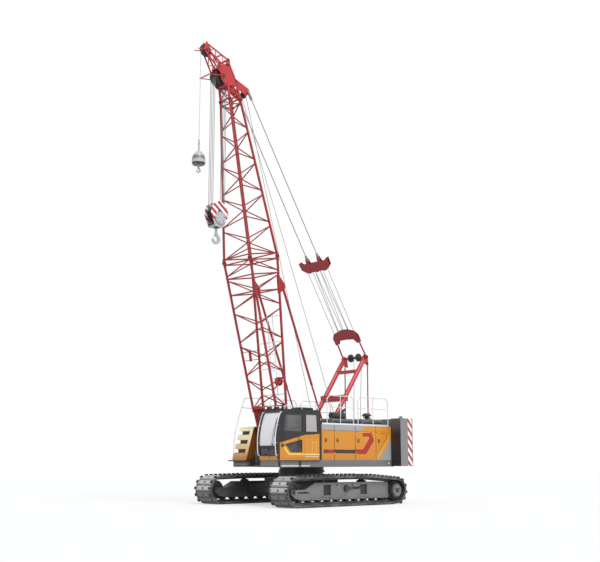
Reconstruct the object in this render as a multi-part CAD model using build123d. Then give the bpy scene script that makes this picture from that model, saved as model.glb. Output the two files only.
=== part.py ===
from build123d import *
import math
import os

os.makedirs("parts", exist_ok=True)

# A crawler crane on its extended tracks, with its basic lattice boom raised to 80 degrees.
# Millimetres. +X is forward, +Y is the cab side (left), +Z is up.
# The sizes below count from the slewing axis on the ground.
# The finished nodes are moved so that the origin lies under the middle of the crane's length.

# Running gear
GAUGE = 3920.0
SHOE_WIDTH = 880.0
SHOE_COUNT = 60
SHOE_HEIGHT = 60.0
LINK_DEPTH = 90.0
LINK_WIDTH = 260.0
IDLER_X = 2340.0
IDLER_Z = 490.0
IDLER_REACH = 490.0
SPROCKET_X = -2380.0
SPROCKET_Z = 470.0
SPROCKET_REACH = 430.0
SPROCKET_TEETH = 13
DRIVE_RADIUS = 150.0
DRIVE_RIM = 320.0
DRIVE_COVER = 205.0
DRIVE_REACH = 385.0
CARRIER_X = 970.0
CARRIER_RADIUS = 62.0
STRAND_TOP = 1010.0
STRAND_SAG = 5.0
REAR_CONTACT_X = -2050.0
ROLLER_RADIUS = 95.0
ROLLER_COUNT = 10
ROLLER_FIRST_X = -1900.0
ROLLER_PITCH = 430.0
WHEEL_WIDTH = 230.0
SEAT = 0.3
RUNNING = 0.05

# Flats of round members: largest radius, number of flats
FLATS = [(18.0, 6), (60.0, 8), (110.0, 12), (400.0, 24), (2000.0, 40)]

# Shoe outline: share of the pitch along the track, share of the shoe height outward
SHOE_OUTLINE = [(-0.49, 0.0), (-0.49, 0.35), (-0.32, 0.35), (-0.25, 1.0), (0.25, 1.0), (0.32, 0.35),
                (0.49, 0.35), (0.49, 0.0)]

# Track frames and car body
FRAME_WIDTH = 440.0
FRAME_TOP = 770.0
FRAME_BOTTOM = 225.0
CHANNEL_TOP = 400.0
SKIRT = 45.0
BEAM_X = 860.0
BEAM_LENGTH = 340.0
BEAM_BOTTOM = 370.0
BEAM_TOP = 700.0
BEAM_RECESS = 60.0
CHEEK_REAR_X = -2090.0
ADJUSTER_REAR_X = 1690.0
ADJUSTER_Z = 470.0
HUB_HALF_X = 1150.0
HUB_HALF_Y = 1000.0
HUB_BOTTOM = 430.0
HUB_TOP = 900.0
DRUM_RADIUS = 760.0
RING_RADIUS = 810.0
RACE_RADIUS = 780.0
RACE_BOTTOM = 1080.0

# Revolving frame
DECK_BOTTOM = 1270.0
DECK_PLATE = 60.0
SILL_TOP = 1500.0
HOUSE_Y = 1538.0
SPINE_Y = 620.0
SPINE_PLATE = 40.0
SPINE_TOP = 2300.0
CAB_SILL_X = 2460.0
RIGHT_SILL_X = 1830.0
DECK_FRONT_X = 1750.0
STEP_PLATE_X = 2010.0
STEP_LEVELS = [1750.0, 2060.0, 2370.0]
STEP_OPENING = 130.0

# Cab
CAB_OUTER_Y = 1620.0
CAB_INNER_Y = 690.0
CAB_WALL = 45.0
CAB_REAR_X = 620.0
CAB_FLOOR = 1500.3
CAB_ROOF = 3150.0
CAB_NOSE_X = 2500.0
CAB_BULGE_X = 2560.0
CAB_BROW_X = 2300.0
GLASS = 10.0
GLASS_INSET = 14.0
DOOR_FRONT_X = 2330.0
DOOR_REAR_X = 1370.0
DOOR_GAP = 6.0
DOOR_POST = 14.0
LATCH_Z = 2170.0

# Machinery houses
HOUSE_INNER_Y = 700.0
HOUSE_WALL = 40.0
HOUSE_FRONT_X = 500.0
HOUSE_ROOF = 2690.0
PANEL_TOP = 2490.0
PANEL_BOTTOM = 1540.0
HOUSE_SLANT_Z = 2360.0
HOUSE_SLANT_RUN = 780.0
HOUSE_ROOF_RUN = 60.0
GROOVE_WIDTH = 12.0
GROOVE_DEPTH = 6.0
GROOVE_MARGIN = 20.0
RIGHT_PANELS = [0, 1]

# Machinery on the roofs: front x, rear x, inner y, outer y, top z
ROOF_UNITS = [(-150.0, -1250.0, 800.0, 1380.0, 2920.0), (-1620.0, -2750.0, 800.0, 1380.0, 2940.0)]
MUFFLER_X = -390.0
MUFFLER_LENGTH = 640.0
MUFFLER_RADIUS = 120.0
CLEANER_X = -2200.0
CLEANER_RADIUS = 190.0
CLEANER_TOP = 3160.0

# Guard rails: front x, rear x of each panel on the roofs, and the heights of their bars
RAIL_RADIUS = 16.0
RAIL_Y = 1490.0
RAIL_PANELS = [(184.0, -1113.0), (-1335.0, -2890.0)]
RAIL_TOP = 3690.0
RAIL_MIDDLE = 3300.0
RAIL_KNEE = 120.0

# Counterweight
TAIL_RADIUS = 4160.0
TAIL_HALF_WIDTH = 2014.0
TAIL_FRONT_X = -TAIL_RADIUS + 1180.0
TAIL_NOTCH_X = -TAIL_RADIUS + 860.0
TAIL_NOTCH_Y = HOUSE_Y + 22.0
TAIL_LEVELS = [1290.0, 1750.0, 2390.0, 2985.0]
TAIL_LUG_Y = 1420.0
TAIL_LUG_INSET = 380.0

# Places that follow the counterweight
HOUSE_REAR_X = TAIL_NOTCH_X + 180.0
HOUSE_SLANT_X = HOUSE_REAR_X + HOUSE_SLANT_RUN
SPINE_REAR_X = TAIL_NOTCH_X + 300.0
PANEL_SEAMS = [450.0, -110.0, -1140.0, -2190.0, HOUSE_REAR_X + 195.0]

# Boom, in its own frame: first along the boom, second to the left, third to the rear
BOOM_ANGLE = 79.88
FOOT_X = 1251.0
FOOT_Z = 1910.0
FOOT_RADIUS = 110.0
FOOT_PIN = 45.0
FOOT_Y = 580.0
FOOT_LUG = 60.0
BASE_START = 1300.0
JUNCTION = 6550.0
HEAD_START = 12200.0
CHORD_RADIUS = 44.0
LACING = 44.0
START_HALF_WIDTH = 606.0
START_HALF_DEPTH = 222.0
FULL_HALF_WIDTH = 700.0
FULL_HALF_DEPTH = 627.0
HEAD_HALF_WIDTH = 250.0
HEAD_HALF_DEPTH = 240.0
HEAD_PLATE = 30.0
HEAD_SHEAVE_S = 13000.0
HEAD_SHEAVE_N = -405.0
HEAD_SHEAVE_RADIUS = 250.0
SHEAVE_PITCH = 80.0
SHEAVE_COUNT = 4
SHEAVE_HALF = 32.0
SHEAVE_RIM = 12.0
SHEAVE_FLANGE = 28.0
PENDANT_S = 12508.0
PENDANT_N = 620.0
PENDANT_Y = 293.3
JUNCTION_FRAMES = [0.78, 0.89, 0.985]
BASE_SECTIONS = (
    (BASE_START, START_HALF_WIDTH, START_HALF_DEPTH),
    (JUNCTION, FULL_HALF_WIDTH, FULL_HALF_DEPTH),
)
TOP_SECTIONS = (
    (JUNCTION, FULL_HALF_WIDTH, FULL_HALF_DEPTH),
    (HEAD_START, HEAD_HALF_WIDTH, HEAD_HALF_DEPTH),
)
JIB_REAR_S = 13700.0
JIB_REAR_N = 170.0
JIB_TOP_S = 14255.0
NOSE_INNER = 70.0
NOSE_OUTER = 95.0
GUARD_RADIUS = 18.0
HEAD_GUARD_REACH = 600.0
TIP_GUARD_REACH = 400.0
TIP_S = 13930.0
TIP_N = -840.0
TIP_SHEAVE_RADIUS = 200.0
ROPE_RADIUS = 11.0

# Gantry and luffing tackle
GANTRY_FOOT_X = -955.0
GANTRY_FOOT_Z = 2750.0
GANTRY_TOP_X = -2737.0
GANTRY_TOP_Z = 5295.0
GANTRY_FOOT_Y = 590.0
GANTRY_TOP_Y = 540.0
LINK_X = SPINE_REAR_X + 190.0
LINK_FOOT_Z = 2960.0
LINK_HEAD_X = GANTRY_TOP_X - 73.0
BRIDLE_Y = 600.0

# Sheaves of the spreaders: place along the tackle, place across it
LOWER_SHEAVES = [(900.0, -400.0), (1040.0, -140.0), (1040.0, 140.0), (900.0, 400.0)]
UPPER_SHEAVES = [(3720.0, -400.0), (3720.0, 0.0), (3720.0, 400.0)]
LOWER_SHEAVE_RADIUS = 120.0
UPPER_SHEAVE_RADIUS = 130.0

# Rope falls: place along the tackle, distance from the centre below, the same above
FALLS = [(900.0, 520.0, 530.0), (900.0, 280.0, 270.0), (1040.0, 260.0, 130.0), (1040.0, 20.0, 130.0)]
PENDANT_START = 4060.0
PENDANT_SOCKET = 240.0

# Backstops
BACKSTOP_S = 5467.0
BACKSTOP_RISE = 186.5
BACKSTOP_Y = 655.0
BACKSTOP_FOOT_X = -427.0
BACKSTOP_FOOT_Z = 2780.0

# Winches: name, centre x, centre z, drum radius, flange radius
WINCHES = [
    ("main_winch", -400.0, 2060.0, 270.0, 390.0),
    ("auxiliary_winch", -1870.0, 2060.0, 270.0, 390.0),
    ("luffing_winch", SPINE_REAR_X + 380.0, 1960.0, 190.0, 300.0),
]
WINCH_HALF_WIDTH = 560.0

# Hooks
BLOCK_DROP = 4900.0
BALL_DROP = 3700.0
BELL_RADIUS = 230.0
HOOK_SHIFT = 0.12
HOOK_THROAT = 0.52

# Cab door and window outlines, points of x and z
DOOR_FOOT = 1560
DOOR_TOP = 3060
DOOR_OUTLINE = [(DOOR_REAR_X, DOOR_FOOT), (DOOR_FRONT_X, DOOR_FOOT), (DOOR_FRONT_X, 2780),
                (2230, DOOR_TOP), (DOOR_REAR_X, DOOR_TOP)]
DOOR_WINDOW = [(1450, 2420), (2260, 2420), (2260, 2740), (2180, 2990), (1450, 2990)]
DOOR_LOW_WINDOW = [(1470, 1760), (1960, 1760), (2180, 2000), (1470, 2160)]
SIDE_WINDOW = [(760, 2420), (1290, 2420), (1290, 3000), (800, 3000)]
RIGHT_WINDOW = [(760, 2100), (2260, 2100), (2300, 2700), (2180, 3000), (800, 3000)]
SCREEN_LOW = 1960
SCREEN_HIGH = 3030
FOOT_PANE_LOW = 1640
FOOT_PANE_HIGH = 1880
REAR_PANE_LOW = 2300
REAR_PANE_HIGH = 3000
SKYLIGHT_REAR_X = 1500
SKYLIGHT_FRONT_X = 2100
CUTTER_FRONT_X = 2700
CUT_DEPTH = 100
CUT_PAST = 50
HINGE_FEET = (1900, 2600)
HINGE_HEIGHT = 140
HINGE_DEPTH = 12


def block(x0, x1, y0, y1, z0, z1):
    """Rectangular block between two corners."""
    centre = Pos((x0 + x1) / 2, (y0 + y1) / 2, (z0 + z1) / 2)
    return centre * Box(abs(x1 - x0), abs(y1 - y0), abs(z1 - z0))


def flat(outline, y0, y1):
    """Plate with an outline of (x, z) points, from y0 to y1."""
    face = Plane.XZ * make_face(Polyline(*outline, close=True))
    low, high = min(y0, y1), max(y0, y1)
    return Pos(0, low, 0) * extrude(face, amount=-(high - low))


def floor_plan(outline, z0, z1):
    """Plate with an outline of (x, y) points, from z0 to z1."""
    face = make_face(Polyline(*outline, close=True))
    return Pos(0, 0, z0) * extrude(face, amount=z1 - z0)


def flats(radius):
    """Number of flats that a bar of this radius is drawn with."""
    return next(sides for limit, sides in FLATS if radius <= limit)


def rod(start, end, radius, turn=0.0):
    """Bar between two points, drawn with flats; turn sets one of its edges."""
    axis = Vector(*end) - Vector(*start)
    section = RegularPolygon(radius, flats(radius), rotation=turn)
    return extrude(Plane(origin=start, z_dir=axis) * section, axis.length)


def turned(start, end, radius):
    """Truly round bar between two points, for pins and bores."""
    axis = Vector(*end) - Vector(*start)
    foot = (Align.CENTER, Align.CENTER, Align.MIN)
    return Plane(origin=start, z_dir=axis) * Cylinder(radius, axis.length, align=foot)


def disc(x, z, radius, y0, y1, turn=0.0):
    """Wheel or bar across the crane, from y0 to y1, drawn with flats."""
    low, high = min(y0, y1), max(y0, y1)
    return rod((x, low, z), (x, high, z), radius, turn)


def pin(x, z, radius, y0, y1):
    """Truly round pin or bore across the crane, from y0 to y1."""
    low, high = min(y0, y1), max(y0, y1)
    return turned((x, low, z), (x, high, z), radius)


def weld(parts):
    """One body from parts that overlap or touch."""
    first, *rest = parts
    return first.fuse(*rest) if rest else first


def mirrored(shape):
    """The same shape on the other side of the centre plane."""
    return mirror(shape, about=Plane.XZ)


def group(parts):
    """Several separate solids kept together."""
    solids = [solid for part in parts for solid in part.solids()]
    return Compound(solids)


# Running gear

def loop_path(inset):
    """Closed path round the wheels, that far inside the shoes' outer faces."""
    carrier_z = STRAND_TOP - CARRIER_RADIUS - SHOE_HEIGHT - LINK_DEPTH
    carrier_reach = STRAND_TOP - carrier_z
    wheels = [
        (IDLER_X, IDLER_Z, IDLER_REACH),
        (CARRIER_X, carrier_z, carrier_reach),
        (-CARRIER_X, carrier_z, carrier_reach),
        (SPROCKET_X, SPROCKET_Z, SPROCKET_REACH),
        (REAR_CONTACT_X, carrier_reach, carrier_reach),
    ]
    circles = [Pos(x, z) * Edge.make_circle(reach - inset) for x, z, reach in wheels]
    return make_hull(circles).face().outer_wire()


def loop_stations(path, count):
    """Points along the path with their forward and outward directions."""
    stations = []
    for index in range(count):
        place = path.length * index / count
        point = path.position_at(place, position_mode=PositionMode.LENGTH)
        ahead = path.tangent_at(place, position_mode=PositionMode.LENGTH)
        out = Vector(ahead.Y, -ahead.X, 0)
        if out.dot(point - Vector(0, IDLER_Z, 0)) < 0:
            out = -out
        stations.append((point, ahead, out))
    return stations


def track(side):
    """Track loop with its shoes and its link chain."""
    centre = side * GAUGE / 2
    path = loop_path(SHOE_HEIGHT)
    pitch = path.length / SHOE_COUNT
    outer = []
    inner = []
    for point, ahead, out in loop_stations(path, SHOE_COUNT):
        for along, outward in SHOE_OUTLINE:
            corner = point + ahead * (along * pitch) + out * (outward * SHOE_HEIGHT)
            outer.append((corner.X, corner.Y))
        corner = point - out * (SHOE_HEIGHT * 0.4)
        inner.append((corner.X, corner.Y))
    half = SHOE_WIDTH / 2
    shoes = flat(outer, centre - half, centre + half) - flat(inner, centre - half, centre + half)
    links = []
    for point, ahead, out in loop_stations(path, SHOE_COUNT):
        corner = point - out * LINK_DEPTH
        links.append((corner.X, corner.Y))
    chain = flat(inner, centre - LINK_WIDTH / 2, centre + LINK_WIDTH / 2)
    chain = chain - flat(links, centre - LINK_WIDTH / 2, centre + LINK_WIDTH / 2)
    return weld([shoes, chain])


def wheel_radius(reach):
    """Radius of a wheel inside the link chain, clear of the chain's flats."""
    inner = reach - SHOE_HEIGHT - LINK_DEPTH
    half_pitch = loop_path(SHOE_HEIGHT).length / SHOE_COUNT / 2
    return math.sqrt(inner ** 2 - half_pitch ** 2) - SEAT


def idler(side):
    """Front wheel with its axle and rim flanges."""
    centre = side * GAUGE / 2
    radius = wheel_radius(IDLER_REACH)
    half = WHEEL_WIDTH / 2
    wheel = disc(IDLER_X, IDLER_Z, radius, centre - half, centre + half)
    for face in (-1, 1):
        dish = disc(IDLER_X, IDLER_Z, radius - 50, centre + face * (half - 45), centre + face * (half + 5))
        wheel = wheel - dish
    hub = disc(IDLER_X, IDLER_Z, 95, centre - half, centre + half)
    axle = disc(IDLER_X, IDLER_Z, 55, centre - FRAME_WIDTH / 2, centre + FRAME_WIDTH / 2)
    return weld([wheel, hub, axle])


def sprocket(side):
    """Toothed drive wheel with its drive, which stands out of the frame's outer side."""
    centre = side * GAUGE / 2
    tip = wheel_radius(SPROCKET_REACH)
    root = tip - 38
    outline = []
    for tooth in range(SPROCKET_TEETH):
        for share, radius in ((0.0, root), (0.28, root), (0.42, tip), (0.86, tip)):
            angle = 2 * math.pi * (tooth + share) / SPROCKET_TEETH
            outline.append((SPROCKET_X + radius * math.cos(angle), SPROCKET_Z + radius * math.sin(angle)))
    ring = flat(outline, centre - 40, centre + 40)
    neck = centre + side * (LINK_WIDTH / 2 + 20)
    face = centre + side * (DRIVE_REACH - 45)
    housing = disc(SPROCKET_X, SPROCKET_Z, DRIVE_RADIUS, centre - side * FRAME_WIDTH / 2, neck + side * 30)
    rim = disc(SPROCKET_X, SPROCKET_Z, DRIVE_RIM, neck, neck + side * 90)
    step = disc(SPROCKET_X, SPROCKET_Z, DRIVE_RIM - 60, neck + side * 90, face)
    cover = disc(SPROCKET_X, SPROCKET_Z, DRIVE_COVER, face, centre + side * DRIVE_REACH)
    return weld([ring, housing, rim, step, cover])


def frame_outline():
    """Side outline of a track frame."""
    return [(-2600, 330), (-2600, 610), (-2400, 700), (-1800, FRAME_TOP), (1420, FRAME_TOP),
            (1850, 560), (2440, 560), (2440, 420), (2300, 300), (2000, FRAME_BOTTOM), (-2100, FRAME_BOTTOM)]


def track_frame(side):
    """Box frame that carries one track."""
    centre = side * GAUGE / 2
    half = FRAME_WIDTH / 2
    outer = centre + side * half
    slot = WHEEL_WIDTH / 2 + 15
    frame = flat(frame_outline(), centre - half, centre + half)
    channel = half - SKIRT
    cuts = [block(-2150, 2080, centre - channel, centre + channel, 0, CHANNEL_TOP)]
    cuts.append(block(1880, 2700, centre - slot, centre + slot, 0, FRAME_TOP))
    cuts.append(block(-2700, -2040, centre - 60, centre + 60, 0, FRAME_TOP + 100))
    cuts.append(block(-2700, CHEEK_REAR_X, centre, outer, 0, FRAME_TOP))
    rim = disc(SPROCKET_X, SPROCKET_Z, DRIVE_RIM + SEAT, centre + side * LINK_WIDTH / 2, outer)
    cuts.append(rim)
    cuts.append(disc(SPROCKET_X, SPROCKET_Z, DRIVE_RADIUS + SEAT, centre - half, centre + half))
    cuts.append(disc(IDLER_X, IDLER_Z, 55 + SEAT, centre - half, centre + half))
    cuts.append(block(ADJUSTER_REAR_X, IDLER_X - 170, outer, outer - side * 30,
                      ADJUSTER_Z - 30, ADJUSTER_Z + 30))
    for end in (-1, 1):
        x = end * BEAM_X
        reach = BEAM_LENGTH / 2 + SEAT
        cuts.append(block(x - reach, x + reach, centre - half, centre + half,
                          BEAM_BOTTOM - SEAT, BEAM_TOP + SEAT))
        pocket = CARRIER_RADIUS + 20
        cx = end * CARRIER_X
        low = carrier_height() - CARRIER_RADIUS - 5
        cuts.append(block(cx - pocket, cx + pocket, centre - 145, centre + 145, low, FRAME_TOP))
    for cut in cuts:
        frame = frame - cut
    return weld([frame] + frame_fittings(outer, side))


def frame_fittings(outer, side):
    """Lips under the beam ends, the hose cover between them and two lifting lugs."""
    made = []
    for end in (-1, 1):
        x = end * BEAM_X
        reach = BEAM_LENGTH / 2 + 40
        made.append(block(x - reach, x + reach, outer - side, outer + side * 18,
                          BEAM_BOTTOM - 60, BEAM_BOTTOM - 20))
        made.append(block(end * 360 - 50, end * 360 + 50, outer - side, outer + side * 35, 640, 720))
    made.append(disc(0, 580, 110, outer - side, outer + side * 60))
    made.append(block(-300, 0, outer - side, outer + side * 45, 545, 615))
    return made


def carrier_height():
    """Height of the carrier rollers' axles, under the upper strand."""
    return STRAND_TOP - SHOE_HEIGHT - LINK_DEPTH - CARRIER_RADIUS - STRAND_SAG


def bottom_rollers(side):
    """Bottom rollers between the frame's skirts."""
    centre = side * GAUGE / 2
    z = SHOE_HEIGHT + LINK_DEPTH + ROLLER_RADIUS + SEAT
    half = FRAME_WIDTH / 2 - SKIRT - SEAT
    made = []
    for index in range(ROLLER_COUNT):
        x = ROLLER_FIRST_X + index * ROLLER_PITCH
        barrel = disc(x, z, ROLLER_RADIUS, centre - 110, centre + 110)
        axle = disc(x, z, 35, centre - half, centre + half)
        made.append(weld([barrel, axle]))
    return made


def carriers(side):
    """Carrier rollers on top of the frame, on their brackets."""
    centre = side * GAUGE / 2
    z = carrier_height()
    made = []
    for end in (-1, 1):
        x = end * CARRIER_X
        barrel = disc(x, z, CARRIER_RADIUS, centre - 110, centre + 110)
        axle = disc(x, z, 20, centre - 190, centre + 190)
        feet = [block(x - 40, x + 40, centre + f * 150, centre + f * 190, FRAME_TOP + SEAT, z + 35)
                for f in (-1, 1)]
        made.append(weld([barrel, axle] + feet))
    return made


def car_body():
    """Centre box, cross beams, and the drum under the slewing ring."""
    x, y = HUB_HALF_X, HUB_HALF_Y
    corner = 350
    plan = [(-x, -y + corner), (-x + corner, -y), (x - corner, -y), (x, -y + corner),
            (x, y - corner), (x - corner, y), (-x + corner, y), (-x, y - corner)]
    parts = [floor_plan(plan, HUB_BOTTOM, HUB_TOP)]
    reach = GAUGE / 2 + FRAME_WIDTH / 2 - BEAM_RECESS
    for end in (-1, 1):
        bx = end * BEAM_X
        parts.append(block(bx - BEAM_LENGTH / 2, bx + BEAM_LENGTH / 2, -reach, reach, BEAM_BOTTOM, BEAM_TOP))
    parts.append(rod((0, 0, HUB_TOP - 10), (0, 0, RACE_BOTTOM), DRUM_RADIUS))
    body = weld(parts)
    return body - rod((0, 0, HUB_BOTTOM), (0, 0, RACE_BOTTOM), 300)


def slewing_ring():
    """Fixed race of the slewing ring."""
    flange = rod((0, 0, RACE_BOTTOM), (0, 0, RACE_BOTTOM + 60), RING_RADIUS)
    race = rod((0, 0, RACE_BOTTOM), (0, 0, DECK_BOTTOM - 0.5), RACE_RADIUS)
    return weld([flange, race]) - rod((0, 0, RACE_BOTTOM), (0, 0, DECK_BOTTOM), 600)


# Revolving frame

def spine_outline():
    """Side outline of a main plate, from the boom foot to the tail."""
    return [(1800, DECK_BOTTOM + 20), (1430, 2090), (1120, 2090), (700, 1850), (100, 1850), (-50, SPINE_TOP),
            (-700, SPINE_TOP), (GANTRY_FOOT_X + 120, GANTRY_FOOT_Z + 60),
            (GANTRY_FOOT_X - 120, GANTRY_FOOT_Z + 60), (GANTRY_FOOT_X - 365, SPINE_TOP),
            (LINK_X + 250, SPINE_TOP), (LINK_X + 90, LINK_FOOT_Z + 60),
            (LINK_X - 90, LINK_FOOT_Z + 60), (SPINE_REAR_X, SPINE_TOP), (SPINE_REAR_X, DECK_BOTTOM)]


def deck():
    """Revolving frame: bed plate, main plates, sills and cross members."""
    half = SPINE_Y + SPINE_PLATE
    parts = [block(SPINE_REAR_X, DECK_FRONT_X, -half, half, DECK_BOTTOM, DECK_BOTTOM + DECK_PLATE)]
    for side in (-1, 1):
        outer = side * half
        parts.append(flat(spine_outline(), side * SPINE_Y, outer))
        inner = side * (FOOT_Y - FOOT_LUG / 2 - 5)
        ear = [(1500, DECK_BOTTOM + 20), (1370, 2040), (1120, 2040), (950, DECK_BOTTOM + 20)]
        parts.append(flat(ear, inner, inner - side * SPINE_PLATE))
        front = CAB_SILL_X if side > 0 else RIGHT_SILL_X
        edge = side * HOUSE_Y
        parts.append(block(HOUSE_REAR_X, front, edge, edge - side * 90, DECK_BOTTOM, SILL_TOP))
        parts.append(block(HOUSE_REAR_X, front, edge, outer, SILL_TOP - 20, SILL_TOP))
        parts.append(block(front - 60, front, edge, outer, DECK_BOTTOM + 40, SILL_TOP))
        for x in (SPINE_REAR_X, -1100, 300, 1500):
            parts.append(block(x, x + 60, edge, outer - side * 10, DECK_BOTTOM + 40, SILL_TOP))
    parts.append(block(SPINE_REAR_X, SPINE_REAR_X + 40, -SPINE_Y, SPINE_Y, DECK_BOTTOM, SPINE_TOP - 50))
    parts.append(block(TAIL_NOTCH_X + SEAT, SPINE_REAR_X, -500, 500, TAIL_LEVELS[0], SPINE_TOP - 60))
    parts.append(block(RIGHT_SILL_X - 10, STEP_PLATE_X, -HOUSE_Y - 60, -half, SILL_TOP - 40, SILL_TOP))
    frame = weld(parts) - pin(FOOT_X, FOOT_Z, FOOT_PIN + SEAT, -SPINE_Y - 100, SPINE_Y + 100)
    return group([frame] + foot_pins())


def foot_pins():
    """Pins that carry the boom foot in the main plates."""
    made = []
    for side in (-1, 1):
        inner = side * (FOOT_Y - FOOT_LUG / 2 - 5 - SPINE_PLATE)
        made.append(pin(FOOT_X, FOOT_Z, FOOT_PIN, inner, side * (SPINE_Y + SPINE_PLATE)))
    return made


def cab_side(inset):
    """Side face of the cab, that far inside its outer outline."""
    rear, floor = CAB_REAR_X + inset, CAB_FLOOR + inset
    roof = CAB_ROOF - inset
    nose, bulge, brow = CAB_NOSE_X - inset, CAB_BULGE_X - inset, CAB_BROW_X - inset
    edges = [Line((rear, roof), (rear, floor)), Line((rear, floor), (nose, floor)),
             ThreePointArc((nose, floor), (bulge, 2300), (brow, roof)), Line((brow, roof), (rear, roof))]
    return Plane.XZ * make_face(edges)


def cab_solid(inset, y0, y1):
    """Solid cab form that far inside its outer outline, from y0 to y1."""
    return Pos(0, y0, 0) * extrude(cab_side(inset), amount=-(y1 - y0))


def grown(outline, by):
    """Outline of a side opening, larger by a gap."""
    face = offset(make_face(Polyline(*outline, close=True)), amount=by, kind=Kind.INTERSECTION)
    return face


def side_cut(outline, by, y0, y1):
    """Cutter through a side wall."""
    return Pos(0, y0, 0) * extrude(Plane.XZ * grown(outline, by), amount=-(y1 - y0))


def window_cuts(by):
    """Cutters for the cab's fixed windows, each changed by a gap."""
    outer, inner = CAB_OUTER_Y, CAB_INNER_Y
    return [
        side_cut(SIDE_WINDOW, by, outer - CUT_DEPTH, outer + CUT_PAST),
        side_cut(RIGHT_WINDOW, by, inner - CUT_PAST, inner + CUT_DEPTH),
        block(2250 - by, CUTTER_FRONT_X, inner + 60 - by, outer - 60 + by,
              SCREEN_LOW - by, SCREEN_HIGH + by),
        block(2380 - by, CUTTER_FRONT_X, inner + 60 - by, outer - 60 + by,
              FOOT_PANE_LOW - by, FOOT_PANE_HIGH + by),
        block(CAB_REAR_X - 60, CAB_REAR_X + 100, inner + 110 - by, outer - 110 + by,
              REAR_PANE_LOW - by, REAR_PANE_HIGH + by),
        block(SKYLIGHT_REAR_X - by, SKYLIGHT_FRONT_X + by, inner + 150 - by, outer - 150 + by,
              CAB_ROOF - 80, CAB_ROOF + 60),
    ]


def cab_shell():
    """Hollow cab with its door opening and windows."""
    shell = cab_solid(0, CAB_INNER_Y, CAB_OUTER_Y)
    shell = shell - cab_solid(CAB_WALL, CAB_INNER_Y + CAB_WALL, CAB_OUTER_Y - CAB_WALL)
    for cut in window_cuts(0):
        shell = shell - cut
    return shell - side_cut(DOOR_OUTLINE, DOOR_GAP, CAB_OUTER_Y - CUT_DEPTH, CAB_OUTER_Y + CUT_PAST)


def cab_glass():
    """Panes of the fixed windows, seated in their openings."""
    skin = cab_solid(GLASS_INSET, CAB_INNER_Y + GLASS_INSET, CAB_OUTER_Y - GLASS_INSET)
    depth = GLASS_INSET + GLASS
    skin = skin - cab_solid(depth, CAB_INNER_Y + depth, CAB_OUTER_Y - depth)
    return group([skin & cut for cut in window_cuts(-SEAT)])


def cab_door():
    """Door with its window openings and its hinge edge at the front."""
    door = side_cut(DOOR_OUTLINE, 0, CAB_OUTER_Y - CAB_WALL, CAB_OUTER_Y)
    hinge_front = DOOR_FRONT_X + DOOR_GAP - SEAT
    hinge, hinge_top = [block(DOOR_FRONT_X, hinge_front, CAB_OUTER_Y - HINGE_DEPTH, CAB_OUTER_Y,
                              foot, foot + HINGE_HEIGHT) for foot in HINGE_FEET]
    for outline in (DOOR_WINDOW, DOOR_LOW_WINDOW):
        door = door - side_cut(outline, 0, CAB_OUTER_Y - CUT_DEPTH, CAB_OUTER_Y + CUT_PAST)
    handle = block(1640, 1780, CAB_OUTER_Y - 1, CAB_OUTER_Y + 25, 2370, 2400)
    return weld([door, hinge, hinge_top, handle])


def door_glass():
    """Panes of the door."""
    y1 = CAB_OUTER_Y - GLASS_INSET
    return group([side_cut(outline, -SEAT, y1 - GLASS, y1) for outline in (DOOR_WINDOW, DOOR_LOW_WINDOW)])


def seat():
    """Operator's seat."""
    y = (CAB_INNER_Y + CAB_OUTER_Y) / 2
    floor = CAB_FLOOR + CAB_WALL + SEAT
    base = block(1150, 1500, y - 170, y + 170, floor, floor + 380)
    cushion = block(1080, 1600, y - 240, y + 240, floor + 380, floor + 500)
    profile = [(1080, floor + 380), (1200, floor + 500), (1080, floor + 1130), (970, floor + 1130)]
    back = flat(profile, y - 230, y + 230)
    return weld([base, cushion, back])


def controls():
    """Side consoles and the front column."""
    floor = CAB_FLOOR + CAB_WALL + SEAT
    y = (CAB_INNER_Y + CAB_OUTER_Y) / 2
    made = []
    for side in (-1, 1):
        made.append(block(1150, 1900, y + side * 260, y + side * 390, floor, floor + 560))
    made.append(block(2120, 2320, y - 120, y + 120, floor, floor + 700))
    return group(made)


def house_side(inset):
    """Side outline of a machinery house."""
    floor = SILL_TOP + SEAT + inset
    return [(HOUSE_FRONT_X - inset, floor), (HOUSE_FRONT_X - inset, HOUSE_ROOF - inset),
            (HOUSE_REAR_X + HOUSE_ROOF_RUN + inset, HOUSE_ROOF - inset),
            (HOUSE_REAR_X + inset, HOUSE_SLANT_Z + 0.4 * inset), (HOUSE_REAR_X + inset, floor)]


def panel_ends(index):
    """Front and rear edge of a side panel, which is hinged behind."""
    return PANEL_SEAMS[index] - DOOR_POST - DOOR_GAP, PANEL_SEAMS[index + 1]


def panel_outline(index):
    """Outline of one side panel between two seams, cut by the slanted tail."""
    front, rear = panel_ends(index)
    slope = (HOUSE_SLANT_Z - SILL_TOP) / (HOUSE_REAR_X - HOUSE_SLANT_X)
    margin = 70
    if rear > HOUSE_SLANT_X:
        return [(front, PANEL_BOTTOM), (front, PANEL_TOP), (rear, PANEL_TOP), (rear, PANEL_BOTTOM)]
    knee_x = HOUSE_SLANT_X + (PANEL_BOTTOM + margin - SILL_TOP) / slope
    knee_z = SILL_TOP + (rear - HOUSE_SLANT_X) * slope + margin
    return [(front, PANEL_BOTTOM), (front, PANEL_TOP), (rear, PANEL_TOP), (rear, knee_z),
            (knee_x + 60, PANEL_BOTTOM)]


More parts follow.
